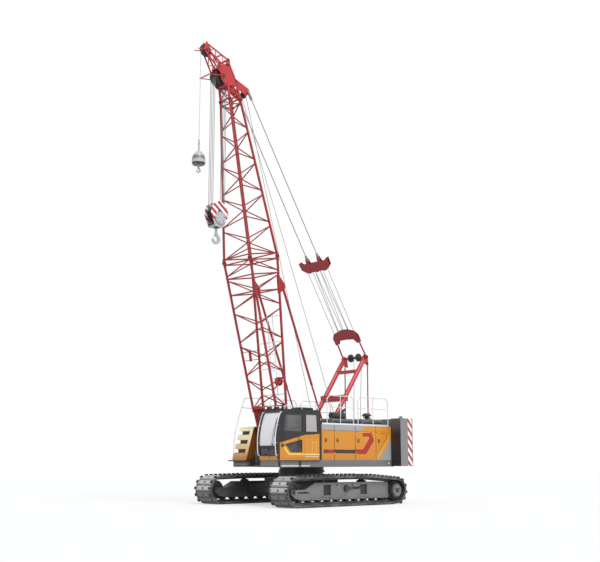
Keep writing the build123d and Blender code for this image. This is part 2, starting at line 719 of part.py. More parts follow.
def house(side):
    """Hollow machinery house with its panel openings and the groove along its slanted colour seam."""
    low, high = HOUSE_INNER_Y, HOUSE_Y
    hollow = flat(house_side(HOUSE_WALL), low + HOUSE_WALL, high - HOUSE_WALL)
    shell = flat(house_side(0), low, high) - hollow
    foot, head = SILL_TOP - GROOVE_MARGIN, HOUSE_SLANT_Z - GROOVE_MARGIN
    beyond = HOUSE_REAR_X - GROOVE_MARGIN
    groove = [(HOUSE_SLANT_X, foot), (HOUSE_SLANT_X + GROOVE_WIDTH, foot), (beyond + GROOVE_WIDTH, head),
              (beyond, head)]
    shell = shell - flat(groove, high - GROOVE_DEPTH, high + GROOVE_MARGIN)
    panels = range(4) if side > 0 else RIGHT_PANELS
    for index in panels:
        front, rear = panel_ends(index)
        opening = side_cut(panel_outline(index), DOOR_GAP, high - 100, high + 50)
        shell = shell - (opening & block(rear - SEAT, HOUSE_FRONT_X, low, high + 50, 0, CAB_ROOF))
    return shell if side > 0 else mirrored(shell)


def roof_machinery():
    """Exhaust and air intake units on the engine house's roof."""
    floor = HOUSE_ROOF + SEAT
    made = []
    for front, rear, inner, outer, top in ROOF_UNITS:
        face = make_face(Polyline((rear, inner), (front, inner), (front, outer), (rear, outer), close=True))
        bevelled = offset(face, amount=-50, kind=Kind.INTERSECTION)
        rings = [Pos(0, 0, floor) * face, Pos(0, 0, top - 60) * face, Pos(0, 0, top) * bevelled]
        made.append(loft(rings, ruled=True))
    middle = (ROOF_UNITS[0][2] + ROOF_UNITS[0][3]) / 2
    height = ROOF_UNITS[0][4] + MUFFLER_RADIUS - 10
    muffler = rod((MUFFLER_X, middle, height), (MUFFLER_X - MUFFLER_LENGTH, middle, height), MUFFLER_RADIUS)
    tail_x = MUFFLER_X - MUFFLER_LENGTH + 60
    stack = rod((tail_x, middle, height), (tail_x, middle, height + 210), 50)
    outlet = rod((tail_x, middle, height + 180), (tail_x - 130, middle, height + 230), 50)
    made[0] = weld([made[0], muffler, stack, outlet])
    neck = rod((CLEANER_X, middle, ROOF_UNITS[1][4] - 20), (CLEANER_X, middle, CLEANER_TOP - 60), 70)
    cap = Pos(CLEANER_X, middle, CLEANER_TOP - 90) * Cone(CLEANER_RADIUS, CLEANER_RADIUS * 0.6, 90,
                                                          align=(Align.CENTER, Align.CENTER, Align.MIN))
    made[1] = weld([made[1], neck, cap])
    return group(made)


def rail_panel(front, rear, y):
    """Guard rail panel on a roof, with cut corners at its upper bar."""
    foot = HOUSE_ROOF + SEAT
    low, high = RAIL_TOP - RAIL_KNEE, RAIL_TOP
    corners = [(front, foot), (front, low), (front - RAIL_KNEE, high),
               (rear + RAIL_KNEE, high), (rear, low), (rear, foot)]
    parts = [rod((a[0], y, a[1]), (b[0], y, b[1]), RAIL_RADIUS) for a, b in zip(corners, corners[1:])]
    parts += [disc(x, z, RAIL_RADIUS, y - 17, y + 17) for x, z in corners[1:-1]]
    parts.append(rod((front, y, RAIL_MIDDLE), (rear, y, RAIL_MIDDLE), RAIL_RADIUS - 3))
    middle = (front + rear) / 2
    parts.append(rod((middle, y, foot), (middle, y, high), RAIL_RADIUS - 2))
    return weld(parts)


def step_rail(y):
    """Hand rail that climbs from the step plate to the roof."""
    corners = [(1900, SILL_TOP + RAIL_RADIUS), (1800, 2450), (1640, 3000),
               (1400, RAIL_TOP - 40), (1150, RAIL_TOP), (640, RAIL_TOP),
               (HOUSE_FRONT_X - 60, RAIL_TOP - 120), (HOUSE_FRONT_X - 60, HOUSE_ROOF + SEAT)]
    parts = [rod((a[0], y, a[1]), (b[0], y, b[1]), RAIL_RADIUS) for a, b in zip(corners, corners[1:])]
    parts += [disc(x, z, RAIL_RADIUS, y - 17, y + 17) for x, z in corners[1:-1]]
    parts.append(rod((1500, y, RAIL_MIDDLE + 40), (HOUSE_FRONT_X, y, RAIL_MIDDLE), RAIL_RADIUS - 3))
    return weld(parts)


def guard_rails():
    """Rails on both roofs and beside the steps."""
    made = [rail_panel(front, rear, side * RAIL_Y) for front, rear in RAIL_PANELS for side in (-1, 1)]
    return group(made + [step_rail(-RAIL_Y)])


def panel_door(index, side):
    """Hinged side panel with its latch."""
    outline = panel_outline(index)
    door = flat(outline, HOUSE_Y - HOUSE_WALL, HOUSE_Y)
    front, rear = panel_ends(index)
    latch = block(front - 160, front - 100, HOUSE_Y - 1, HOUSE_Y + 12, LATCH_Z - 50, LATCH_Z + 50)
    door = weld([door, latch])
    return door if side > 0 else mirrored(door)


def engine():
    """Engine mass inside the left house."""
    return block(-2150, -900, 790, 1400, SILL_TOP + SEAT + HOUSE_WALL + SEAT, 2380)


def side_tank():
    """Tank beside the boom foot, with steps open to the outer side in its sloped front."""
    low, high = SILL_TOP + SEAT, 2650.0
    tank = flat([(HOUSE_FRONT_X + 10, low), (HOUSE_FRONT_X + 10, high), (1500, high), (1560, high - 60),
                 (1880, low)], HOUSE_INNER_Y + 60, HOUSE_Y)
    face_run = (1880 - 1560) / (high - 60 - low)
    for level in STEP_LEVELS:
        edge = 1880 - (level - low) * face_run
        tank = tank - block(edge - 190, 2000, HOUSE_INNER_Y + 230, HOUSE_Y, level, level + STEP_OPENING)
        tread = block(edge - 200, edge + 10, HOUSE_INNER_Y + 230, HOUSE_Y - 20, level - 25, level)
        tank = weld([tank, tread])
    return mirrored(tank)


def tail_plan():
    """Plan of a counterweight slab, with its round back and the notch for the house."""
    rear_corner = -math.sqrt(TAIL_RADIUS ** 2 - TAIL_HALF_WIDTH ** 2)
    w, n = TAIL_HALF_WIDTH, TAIL_NOTCH_Y
    middle = -math.sqrt(TAIL_RADIUS ** 2 - w ** 2 / 4)
    edges = [Line((TAIL_NOTCH_X, -n), (TAIL_FRONT_X, -n)), Line((TAIL_FRONT_X, -n), (TAIL_FRONT_X, -w)),
             Line((TAIL_FRONT_X, -w), (rear_corner, -w)),
             ThreePointArc((rear_corner, -w), (middle, -w / 2), (-TAIL_RADIUS, 0)),
             ThreePointArc((-TAIL_RADIUS, 0), (middle, w / 2), (rear_corner, w)),
             Line((rear_corner, w), (TAIL_FRONT_X, w)), Line((TAIL_FRONT_X, w), (TAIL_FRONT_X, n)),
             Line((TAIL_FRONT_X, n), (TAIL_NOTCH_X, n)), Line((TAIL_NOTCH_X, n), (TAIL_NOTCH_X, -n))]
    return make_face(edges)


def tail_slab(level):
    """One counterweight slab; the top one has a lifting lug on each side."""
    low, high = TAIL_LEVELS[level], TAIL_LEVELS[level + 1]
    slab = Pos(0, 0, low) * extrude(tail_plan(), amount=high - low)
    if level < len(TAIL_LEVELS) - 2:
        return slab
    lug = [(-90, -20), (-90, 40), (-40, 110), (40, 110), (90, 40), (90, -20)]
    x = TAIL_NOTCH_X - TAIL_LUG_INSET
    lugs = [flat([(x + a, high + b) for a, b in lug], side * (TAIL_LUG_Y - 25), side * (TAIL_LUG_Y + 25))
            - disc(x, high + 50, 28, side * (TAIL_LUG_Y - 40), side * (TAIL_LUG_Y + 40)) for side in (-1, 1)]
    return weld([slab] + lugs)


def winch(x, z, radius, flange):
    """Rope drum with its flanges and shaft."""
    half = WINCH_HALF_WIDTH
    drum = disc(x, z, radius, -half, half)
    flanges = [disc(x, z, flange, side * (half - 25), side * half) for side in (-1, 1)]
    shaft = disc(x, z, 60, -SPINE_Y + SEAT, SPINE_Y - SEAT)
    return weld([drum, shaft] + flanges)


# Gantry

def gantry():
    """Leaning legs, cross members and head lugs."""
    parts = []
    rise = (GANTRY_TOP_X - GANTRY_FOOT_X) / (GANTRY_TOP_Z - GANTRY_FOOT_Z)
    for side in (-1, 1):
        foot = (GANTRY_FOOT_X, side * GANTRY_FOOT_Y - side * 60, GANTRY_FOOT_Z)
        top = (GANTRY_TOP_X, side * GANTRY_TOP_Y, GANTRY_TOP_Z)
        line = ((foot[0] + 20, foot[1], foot[2] - 30), top)
        parts.append(rod(line[0], along_chord(line, 0.93), 85))
        lug = [(GANTRY_TOP_X - 160, GANTRY_TOP_Z - 330), (GANTRY_TOP_X + 190, GANTRY_TOP_Z - 170),
               (GANTRY_TOP_X + 70, GANTRY_TOP_Z + 90), (GANTRY_TOP_X - 130, GANTRY_TOP_Z + 60)]
        parts.append(flat(lug, side * (GANTRY_TOP_Y + 25), side * (GANTRY_TOP_Y - 25)))
        parts.append(disc(GANTRY_FOOT_X, GANTRY_FOOT_Z, 90, side * (SPINE_Y - 130), side * (SPINE_Y - SEAT)))
    for z, size, reach in ((3720, 230, 600), (4740, 120, 575)):
        x = GANTRY_FOOT_X + (z - GANTRY_FOOT_Z) * rise
        parts.append(block(x - size / 2, x + size / 2, -reach, reach, z - size / 2, z + size / 2))
    parts.append(pin(GANTRY_TOP_X, GANTRY_TOP_Z, 35, -BRIDLE_Y - 40, BRIDLE_Y + 40))
    return weld(parts)


def gantry_links():
    """Upright tension links behind the gantry."""
    made = []
    head_z = GANTRY_TOP_Z - 230
    for side in (-1, 1):
        y = side * (GANTRY_TOP_Y + 50)
        link = rod((LINK_X, y, LINK_FOOT_Z), (LINK_HEAD_X, y, head_z), 22)
        foot = disc(LINK_X, LINK_FOOT_Z, 30, y, side * (SPINE_Y - SEAT))
        head = disc(LINK_HEAD_X, head_z, 30, y, side * (GANTRY_TOP_Y + 25 + SEAT))
        made.append(weld([link, foot, head]))
    return group(made)


def guide_sheaves():
    """Pair of spoked rope guide sheaves on the gantry head pin."""
    made = []
    for side in (-1, 1):
        y = side * 200
        wheel = disc(GANTRY_TOP_X, GANTRY_TOP_Z, 150, y - 30, y + 30)
        for hole in range(5):
            angle = 2 * math.pi * hole / 5
            x = GANTRY_TOP_X + 88 * math.cos(angle)
            z = GANTRY_TOP_Z + 88 * math.sin(angle)
            wheel = wheel - disc(x, z, 32, y - 40, y + 40)
        made.append(wheel)
    tube = disc(GANTRY_TOP_X, GANTRY_TOP_Z, 52, -230, 230)
    return weld(made + [tube]) - pin(GANTRY_TOP_X, GANTRY_TOP_Z, 35 + RUNNING, -300, 300)


# Luffing tackle, in a frame along the line from the gantry head to the boom head

def boom_frame():
    """Boom frame with its origin at the foot pin."""
    angle = math.radians(BOOM_ANGLE)
    along = (math.cos(angle), 0, math.sin(angle))
    rear = (-math.sin(angle), 0, math.cos(angle))
    return Plane(origin=(FOOT_X, 0, FOOT_Z), x_dir=along, z_dir=rear)


def boom_point(s, y, n):
    """Point of the boom frame in the crane's frame."""
    return boom_frame().from_local_coords(Vector(s, y, n))


def tackle_frame():
    """Frame along the luffing tackle, with its origin at the gantry head pin."""
    head = boom_point(PENDANT_S, 0, PENDANT_N)
    gantry_head = Vector(GANTRY_TOP_X, 0, GANTRY_TOP_Z)
    along = (head - gantry_head).normalized()
    return Plane(origin=gantry_head, x_dir=along, z_dir=(-along.Z, 0, along.X))


def tackle_length():
    """Distance from the gantry head pin to the pendant pins."""
    return (boom_point(PENDANT_S, 0, PENDANT_N) - Vector(GANTRY_TOP_X, 0, GANTRY_TOP_Z)).length


def spreader_plate(outline, gap, thickness):
    """Two plates with an outline of (along, across) points, apart by a gap."""
    face = make_face(Polyline(*outline, close=True))
    low = Pos(0, 0, -gap / 2 - thickness) * extrude(face, amount=thickness)
    high = Pos(0, 0, gap / 2) * extrude(face, amount=thickness)
    return [low, high]


def lower_spreader():
    """Plates with links down to the gantry head."""
    outline = [(620, -620), (900, -640), (1080, -500), (1180, -150), (1180, 150), (1080, 500), (900, 640),
               (620, 620), (620, 500), (780, 380), (800, 0), (780, -380), (620, -500)]
    parts = spreader_plate(outline, 70, 20)
    for side in (-1, 1):
        y = side * BRIDLE_Y
        parts.append(rod((0, y, 0), (680, side * 570, 0), 28))
        parts.append(rod((0, y - 30, 0), (0, y + 30, 0), 65))
        parts.append(rod((680, side * 570, -55), (680, side * 570, 55), 45))
    body = weld(parts) - turned((0, -700, 0), (0, 700, 0), 35 + RUNNING)
    return tackle_frame() * body


def tackle_sheaves(places, radius):
    """Small sheaves between the spreader plates, with their pins."""
    made = []
    for along, across in places:
        wheel = rod((along, across, -25), (along, across, 25), radius - ROPE_RADIUS - SEAT)
        axle = rod((along, across, -35 + SEAT), (along, across, 35 - SEAT), 28)
        made.append(weld([wheel, axle]))
    return tackle_frame() * group(made)


def tackle_falls():
    """Rope falls between the two spreaders."""
    made = []
    for lower_along, lower_across, upper_across in FALLS:
        for side in (-1, 1):
            low = (lower_along, side * lower_across, 0)
            made.append(rod(low, (UPPER_SHEAVES[0][0] - 20, side * upper_across, 0), ROPE_RADIUS))
    return tackle_frame() * group(made)


def upper_spreader():
    """Plates with lugs for the pendants."""
    half = [(3640, 520), (3800, 740), (4080, 760), (4080, 690), (3990, 600), (3990, 380), (4190, 340),
            (4190, 260), (3990, 220)]
    outline = [(s, -n) for s, n in half] + half[::-1]
    plates = spreader_plate(outline, 70, 20)
    spacers = [rod((3900, y, -45), (3900, y, 45), 30) for y in (-600, -200, 200, 600)]
    return tackle_frame() * weld(plates + spacers)


def pendants():
    """Pair of pendant ropes with their end fittings."""
    made = []
    end = tackle_length()
    start = PENDANT_START
    for side in (-1, 1):
        y = side * PENDANT_Y
        rope = rod((start + 90, y, 0), (end - 60, y, 0), 17)
        low = block(start, start + PENDANT_SOCKET, y - 30, y + 30, -34, 34)
        high = block(end - 320, end, y - 28, y + 28, -40, 40)
        eye = rod((end, y - 28, 0), (end, y + 28, 0), 60)
        made.append(weld([rope, low, high, eye]))
    return tackle_frame() * group(made)


# Boom

def chord_ends(start, end):
    """Chord centre lines of a boom section from its two end sections."""
    (s0, w0, d0), (s1, w1, d1) = start, end
    return [((s0, y * w0, n * d0), (s1, y * w1, n * d1)) for y in (-1, 1) for n in (-1, 1)]


def along_chord(line, share):
    """Point at a share of the way along a chord."""
    (a, b, c), (d, e, f) = line
    return (a + (d - a) * share, b + (e - b) * share, c + (f - c) * share)


def lattice(start, end, bays):
    """Four chords with zigzag lacing on each face."""
    chords = chord_ends(start, end)
    parts = [rod(along_chord(line, -0.004), along_chord(line, 1.004), CHORD_RADIUS) for line in chords]
    faces = [(0, 1), (1, 3), (3, 2), (2, 0)]
    for number, (near, far) in enumerate(faces):
        pair = (chords[near], chords[far]) if number % 2 == 0 else (chords[far], chords[near])
        for bay in range(bays):
            first, second = pair if bay % 2 == 0 else pair[::-1]
            margin = 0.10 / bays
            low = along_chord(first, bay / bays + margin + 0.06 / bays)
            high = along_chord(second, (bay + 1) / bays - margin)
            parts.append(rod(low, high, LACING / 2))
    return parts


def cross_frame(line_start, line_end, share, size):
    """Four straight members round the boom at one place along a section."""
    chords = chord_ends(line_start, line_end)
    points = [along_chord(line, share) for line in chords]
    return [rod(points[a], points[b], size / 2) for a, b in ((0, 1), (1, 3), (3, 2), (2, 0))]


def trimmed(parts, low, high):
    """Section cut square at both ends."""
    reach = FULL_HALF_WIDTH + 200
    return weld(parts) & block(low, high, -reach, reach, -reach, reach)


def boom_base():
    """Lower lattice section with its foot plates."""
    parts = lattice(*BASE_SECTIONS, 9)
    parts += cross_frame(*BASE_SECTIONS, 0.02, 70)
    for share in JUNCTION_FRAMES:
        parts += cross_frame(*BASE_SECTIONS, share, 50)
    reach = START_HALF_WIDTH - 20
    parts.append(disc(BASE_START + 90, 0, 70, -reach, reach))
    for side in (-1, 1):
        d = START_HALF_DEPTH
        blade = [(BASE_START + 120, -d - 30), (BASE_START + 120, d + 30), (BASE_START - 80, d),
                 (60, FOOT_RADIUS - 15), (0, FOOT_RADIUS), (-FOOT_RADIUS * 0.7, FOOT_RADIUS * 0.7),
                 (-FOOT_RADIUS, 0),
                 (-FOOT_RADIUS * 0.7, -FOOT_RADIUS * 0.7), (0, -FOOT_RADIUS), (60, -FOOT_RADIUS + 15),
                 (BASE_START - 80, -d)]
        low = side * (FOOT_Y - FOOT_LUG / 2)
        high = side * (FOOT_Y + FOOT_LUG / 2)
        parts.append(flat(blade, low, high))
    parts += backstop_brackets()
    body = trimmed(parts, -FOOT_RADIUS - 10, JUNCTION - SEAT / 2)
    return boom_frame() * (body - pin(0, 0, FOOT_PIN + RUNNING, -SPINE_Y, SPINE_Y))


def boom_top():
    """Upper lattice section."""
    parts = lattice(*TOP_SECTIONS, 10)
    for share in (0.02, 0.97):
        parts += cross_frame(*TOP_SECTIONS, share, 50)
    return boom_frame() * trimmed(parts, JUNCTION + SEAT / 2, HEAD_START - SEAT / 2)


def head_outline():
    """Side outline of a head plate."""
    return [(HEAD_START + SEAT, -HEAD_HALF_DEPTH - 30), (HEAD_START + SEAT, HEAD_HALF_DEPTH + 30),
            (PENDANT_S - 100, PENDANT_N + 60), (PENDANT_S + 90, PENDANT_N + 60), (JIB_REAR_S, JIB_REAR_N),
            (13480, -200), (13200, -520), (12850, -520)]


def head_recess():
    """Opening in a head plate, between its rear edge and its middle."""
    return [(12620, 60), (12620, 330), (12720, 420), (13120, 330), (13300, 120), (13120, 40)]


def sheave_guards():
    """Fork with a cross bar in front of the main sheaves, and two prongs beside the tip sheave."""
    seated = GUARD_RADIUS * math.cos(math.pi / flats(GUARD_RADIUS)) + SEAT
    wide = HEAD_HALF_WIDTH + HEAD_PLATE / 2 + seated
    narrow = NOSE_OUTER + seated
    s, root, tip = HEAD_SHEAVE_S, HEAD_SHEAVE_N + 100, HEAD_SHEAVE_N - HEAD_GUARD_REACH
    fork = [rod((s, side * wide, root), (s, side * wide, tip), GUARD_RADIUS) for side in (-1, 1)]
    fork.append(disc(s, tip, GUARD_RADIUS + 6, -wide - GUARD_RADIUS, wide + GUARD_RADIUS))
    prongs = [rod((TIP_S, y, TIP_N + 40), (TIP_S, y, TIP_N - TIP_GUARD_REACH), GUARD_RADIUS)
              for y in (-narrow, narrow)]
    return boom_frame() * group([weld(fork)] + prongs)


def boom_head():
    """Head plates with cross members and the auxiliary tip frame."""
    outer = HEAD_HALF_WIDTH + HEAD_PLATE / 2
    inner = HEAD_HALF_WIDTH - HEAD_PLATE / 2
    parts = []
    for side in (-1, 1):
        plate = flat(head_outline(), side * inner, side * outer)
        parts.append(plate - flat(head_recess(), side * (outer - 12), side * (outer + 5)))
        nose = [(TIP_S - 90, TIP_N + 70), (JIB_TOP_S - 140, TIP_N + 120), (JIB_TOP_S, TIP_N + 26),
                (TIP_S + 150, TIP_N - 70), (TIP_S + 20, TIP_N - 150), (TIP_S - 90, TIP_N - 90)]
        parts.append(flat(nose, side * NOSE_INNER, side * NOSE_OUTER))
        parts += tip_struts(side)
    for s, n, size in ((HEAD_START + 200, HEAD_HALF_DEPTH - 40, 60), (13600, 120, 45), (13380, -260, 40),
                       (HEAD_START + 120, -HEAD_HALF_DEPTH + 75, 35), (12900, 380, 40)):
        parts.append(disc(s, n, size, -inner - 2, inner + 2))
    parts.append(disc(JIB_REAR_S - 30, JIB_REAR_N, 55, -outer - 60, outer + 60))
    parts.append(pin(HEAD_SHEAVE_S, HEAD_SHEAVE_N, 45, -inner - 2, inner + 2))
    parts.append(pin(TIP_S, TIP_N, 30, -NOSE_INNER - 2, NOSE_INNER + 2))
    return boom_frame() * weld(parts)


def tip_struts(side):
    """Front, middle and rear chords of the tip frame on one side, with lacing between the first two."""
    wide, narrow = side * HEAD_HALF_WIDTH, side * (NOSE_INNER + NOSE_OUTER) / 2
    front = ((13150, wide, -500), (TIP_S - 60, narrow, TIP_N - 60))
    middle = ((13480, wide, -220), (TIP_S + 20, narrow, TIP_N + 60))
    rear = ((JIB_REAR_S - 20, wide, JIB_REAR_N - 20), (JIB_TOP_S - 120, narrow, TIP_N + 90))
    struts = [rod(low, high, 28) for low, high in (front, middle, rear)]
    for start, end in ((0.08, 0.25), (0.45, 0.25), (0.45, 0.68), (0.85, 0.68)):
        struts.append(rod(along_chord(front, start), along_chord(middle, end), 15))
    struts.append(rod(along_chord(middle, 0.25), along_chord(rear, 0.40), 15))
    return struts


def sheave_set(x, z, radius, places, hub, bore, turn):
    """Grooved sheaves on one hub, with a bore for their pin; turn sets an edge to where the rope leaves."""
    reach = max(places) + SHEAVE_HALF + 10
    parts = [disc(x, z, hub, -reach, reach)]
    for y in places:
        parts.append(disc(x, z, radius - ROPE_RADIUS - SEAT, y - SHEAVE_HALF, y + SHEAVE_HALF, turn))
        for low in (y - SHEAVE_HALF, y + SHEAVE_HALF - SHEAVE_RIM):
            parts.append(disc(x, z, radius + SHEAVE_FLANGE, low, low + SHEAVE_RIM, turn))
    return weld(parts) - pin(x, z, bore + RUNNING, -reach, reach)


def sheave_rows():
    """Places of the main sheaves across the boom."""
    return [SHEAVE_PITCH * (index - (SHEAVE_COUNT - 1) / 2) for index in range(SHEAVE_COUNT)]


def head_sheaves():
    """Main sheaves at the boom head."""
    sheaves = sheave_set(HEAD_SHEAVE_S, HEAD_SHEAVE_N, HEAD_SHEAVE_RADIUS, sheave_rows(), 90, 45, BOOM_ANGLE)
    return boom_frame() * sheaves


def tip_sheave():
    """Auxiliary sheave at the boom tip."""
    return boom_frame() * sheave_set(TIP_S, TIP_N, TIP_SHEAVE_RADIUS, [0.0], 60, 30, BOOM_ANGLE)


def chord_depth(s):
    """Half depth of the lower section at a place along the boom."""
    (s0, _, d0), (s1, _, d1) = BASE_SECTIONS
    return d0 + (d1 - d0) * (s - s0) / (s1 - s0)


def backstop_n():
    """How far behind the boom's middle the backstops' upper pins lie."""
    return chord_depth(BACKSTOP_S) + BACKSTOP_RISE


def backstop_brackets():
    """Plates on the rear chords that carry the backstops."""
    made = []
    s, n = BACKSTOP_S, backstop_n()
    plate = [(s - 217, chord_depth(s - 217) - 10), (s + 433, chord_depth(s + 433) - 10),
             (s + 93, n + 60), (s - 67, n + 60)]
    for side in (-1, 1):
        for y in (BACKSTOP_Y - 60, BACKSTOP_Y + 42):
            made.append(flat(plate, side * y, side * (y + 18)))
        made.append(pin(s, n, 22, side * (BACKSTOP_Y - 60), side * (BACKSTOP_Y + 60)))
    return made


def backstops():
    """Telescopic tubes that stop the boom from falling back."""
    made = []
    top = boom_point(BACKSTOP_S, 0, backstop_n())
    axis = Vector(BACKSTOP_FOOT_X, 0, BACKSTOP_FOOT_Z) - top
    unit = axis.normalized()
    for side in (-1, 1):
        y = side * BACKSTOP_Y
        start = Vector(top.X, y, top.Z)
        middle = start + unit * (axis.length * 0.72)
        finish = start + axis
        eye = disc(top.X, top.Z, 55, y - 35, y + 35)
        parts = [eye, rod(start, middle, 42), rod(middle - unit * 20, finish, 30)]
        made.append(weld(parts) - pin(top.X, top.Z, 22 + RUNNING, y - 60, y + 60))
    return group(made)


# Hooks, hanging plumb below their sheaves

def falls():
    """Rope falls of the main hook."""
    centre = boom_point(HEAD_SHEAVE_S, 0, HEAD_SHEAVE_N)
    made = []
    for y in sheave_rows():
        for end in (-1, 1):
            x = centre.X + end * HEAD_SHEAVE_RADIUS
            made.append(rod((x, y, centre.Z - BLOCK_DROP), (x, y, centre.Z), ROPE_RADIUS))
    return group(made)


def hook_form(x, z, size):
    """Hook below a point, in the fore-and-aft plane, thick in its bow and drawn out to its tip."""
    shank = rod((x, 0, z), (x, 0, z - 1.1 * size), 0.24 * size)
    outer = disc(x, z - 2.0 * size, size, -0.2 * size, 0.2 * size)
    inner = disc(x + HOOK_SHIFT * size, z - 1.9 * size, HOOK_THROAT * size, -size, size)
    mouth = flat([(x + 0.30 * size, z - 1.75 * size), (x + 1.3 * size, z - 2.15 * size),
                  (x + 1.6 * size, z - 0.8 * size), (x + 0.30 * size, z - 0.8 * size)], -size, size)
    neck = flat([(x - 0.30 * size, z - 0.7 * size), (x + 0.30 * size, z - 0.7 * size),
                 (x + 0.34 * size, z - 1.35 * size), (x - 0.62 * size, z - 1.35 * size)],
                -0.2 * size, 0.2 * size)
    return weld([shank, ((outer + neck) - inner) - mouth])


def block_place():
    """Centre of the main block's sheaves."""
    centre = boom_point(HEAD_SHEAVE_S, 0, HEAD_SHEAVE_N)
    return centre.X, centre.Z - BLOCK_DROP


def hook_block():
    """Cheek plates and weights of the main block."""
    x, z = block_place()
    outline = [(x - 370, z - 50), (x - 300, z + 250), (x, z + 420), (x + 300, z + 250), (x + 370, z - 50),
               (x + 180, z - 480), (x - 180, z - 480)]
    parts = []
    for side in (-1, 1):
        parts.append(flat(outline, side * 175, side * 200))
        parts.append(disc(x, z - 190, 210, side * 200, side * 250))
    parts.append(block(x - 170, x + 170, -180, 180, z - 480, z - 400))
    parts.append(pin(x, z, 45, -180, 180))
    return weld(parts) - turned((x, 0, z - 600), (x, 0, z - 300), 45 + RUNNING)


def block_sheaves():
    """Sheaves of the main block."""
    x, z = block_place()
    return sheave_set(x, z, HEAD_SHEAVE_RADIUS, sheave_rows(), 90, 45, 0.0)


def main_hook():
    """Main hook on its swivel shank."""
    x, z = block_place()
    shank = turned((x, 0, z - 620), (x, 0, z - 370), 45)
    nut = rod((x, 0, z - 399.5), (x, 0, z - 340), 80)
    return weld([shank, nut, hook_form(x, z - 560, 170)])


def ball_place():
    """Top of the ball weight on the auxiliary rope."""
    centre = boom_point(TIP_S, 0, TIP_N)
    return centre.X + TIP_SHEAVE_RADIUS, centre.Z - BALL_DROP


def ball_weight():
    """Auxiliary rope with its bell-shaped weight."""
    x, z = ball_place()
    centre = boom_point(TIP_S, 0, TIP_N)
    rope = rod((x, 0, z + 60), (x, 0, centre.Z), ROPE_RADIUS)
    socket = rod((x, 0, z - 20), (x, 0, z + 260), 32)
    profile = [(0, 0), (90, -20), (190, -130), (BELL_RADIUS, -300), (BELL_RADIUS, -420),
               (200, -480), (0, -480)]
    bell = revolve(Plane.XZ * make_face(Polyline(*profile, close=True)), Axis.Z)
    return weld([Pos(x, 0, z) * bell, socket, rope]) - turned((x, 0, z - 490), (x, 0, z - 400), 35 + RUNNING)


def ball_hook():
    """Auxiliary hook below the ball weight."""
    x, z = ball_place()
    return weld([turned((x, 0, z - 560), (x, 0, z - 401), 35), hook_form(x, z - 500, 90)])


def build_nodes():
    """Every node's name with its shape."""
    nodes = [("car_body", car_body()), ("slewing_ring", slewing_ring())]
    for side, word in ((1, "left"), (-1, "right")):
        nodes.append(("track_frame_" + word, track_frame(side)))
        nodes.append(("track_" + word, track(side)))
        nodes.append(("idler_" + word, idler(side)))
        nodes.append(("sprocket_" + word, sprocket(side)))
        nodes.append(("rollers_" + word, group(bottom_rollers(side) + carriers(side))))
        nodes.append(("house_" + word, house(side)))
    nodes += [("deck", deck()), ("cab_shell", cab_shell()), ("cab_glass", cab_glass()),
              ("cab_door", cab_door()), ("door_glass", door_glass()), ("seat", seat()),
              ("controls", controls()),
              ("engine", engine()), ("side_tank", side_tank()), ("roof_machinery", roof_machinery()),
              ("guard_rails", guard_rails())]
    nodes += [("panel_left_%d" % (index + 1), panel_door(index, 1)) for index in range(4)]
    nodes += [("panel_right_%d" % (index + 1), panel_door(index, -1)) for index in RIGHT_PANELS]
    nodes += [("tail_slab_%d" % (level + 1), tail_slab(level)) for level in range(3)]
    nodes += [(name, winch(x, z, radius, flange)) for name, x, z, radius, flange in WINCHES]
    nodes += [("gantry", gantry()), ("gantry_links", gantry_links()), ("guide_sheaves", guide_sheaves()),
              ("lower_spreader", lower_spreader()),
              ("lower_sheaves", tackle_sheaves(LOWER_SHEAVES, LOWER_SHEAVE_RADIUS)),
              ("luffing_falls", tackle_falls()), ("upper_spreader", upper_spreader()),
              ("upper_sheaves", tackle_sheaves(UPPER_SHEAVES, UPPER_SHEAVE_RADIUS)),
              ("pendants", pendants()),
              ("boom_base", boom_base()), ("boom_top", boom_top()), ("boom_head", boom_head()),
              ("sheave_guards", sheave_guards()),
              ("backstops", backstops()),
              ("head_sheaves", head_sheaves()), ("tip_sheave", tip_sheave()), ("main_falls", falls()),
              ("hook_block", hook_block()), ("block_sheaves", block_sheaves()), ("main_hook", main_hook()),
              ("ball_weight", ball_weight()), ("ball_hook", ball_hook())]
    return nodes


foremost = ball_place()[0] + BELL_RADIUS
middle_of_length = (foremost - TAIL_RADIUS) / 2
for node_name, node_shape in build_nodes():
    export_step(Pos(-middle_of_length, 0, 0) * node_shape, "parts/" + node_name + ".step")
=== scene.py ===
"""Crawler crane with a raised lattice boom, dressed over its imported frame."""
from __future__ import annotations

import logging
import math
from dataclasses import dataclass
from enum import Enum
from functools import cache
from typing import Sequence

import bmesh
import bpy
from mathutils import Matrix, Quaternion, Vector


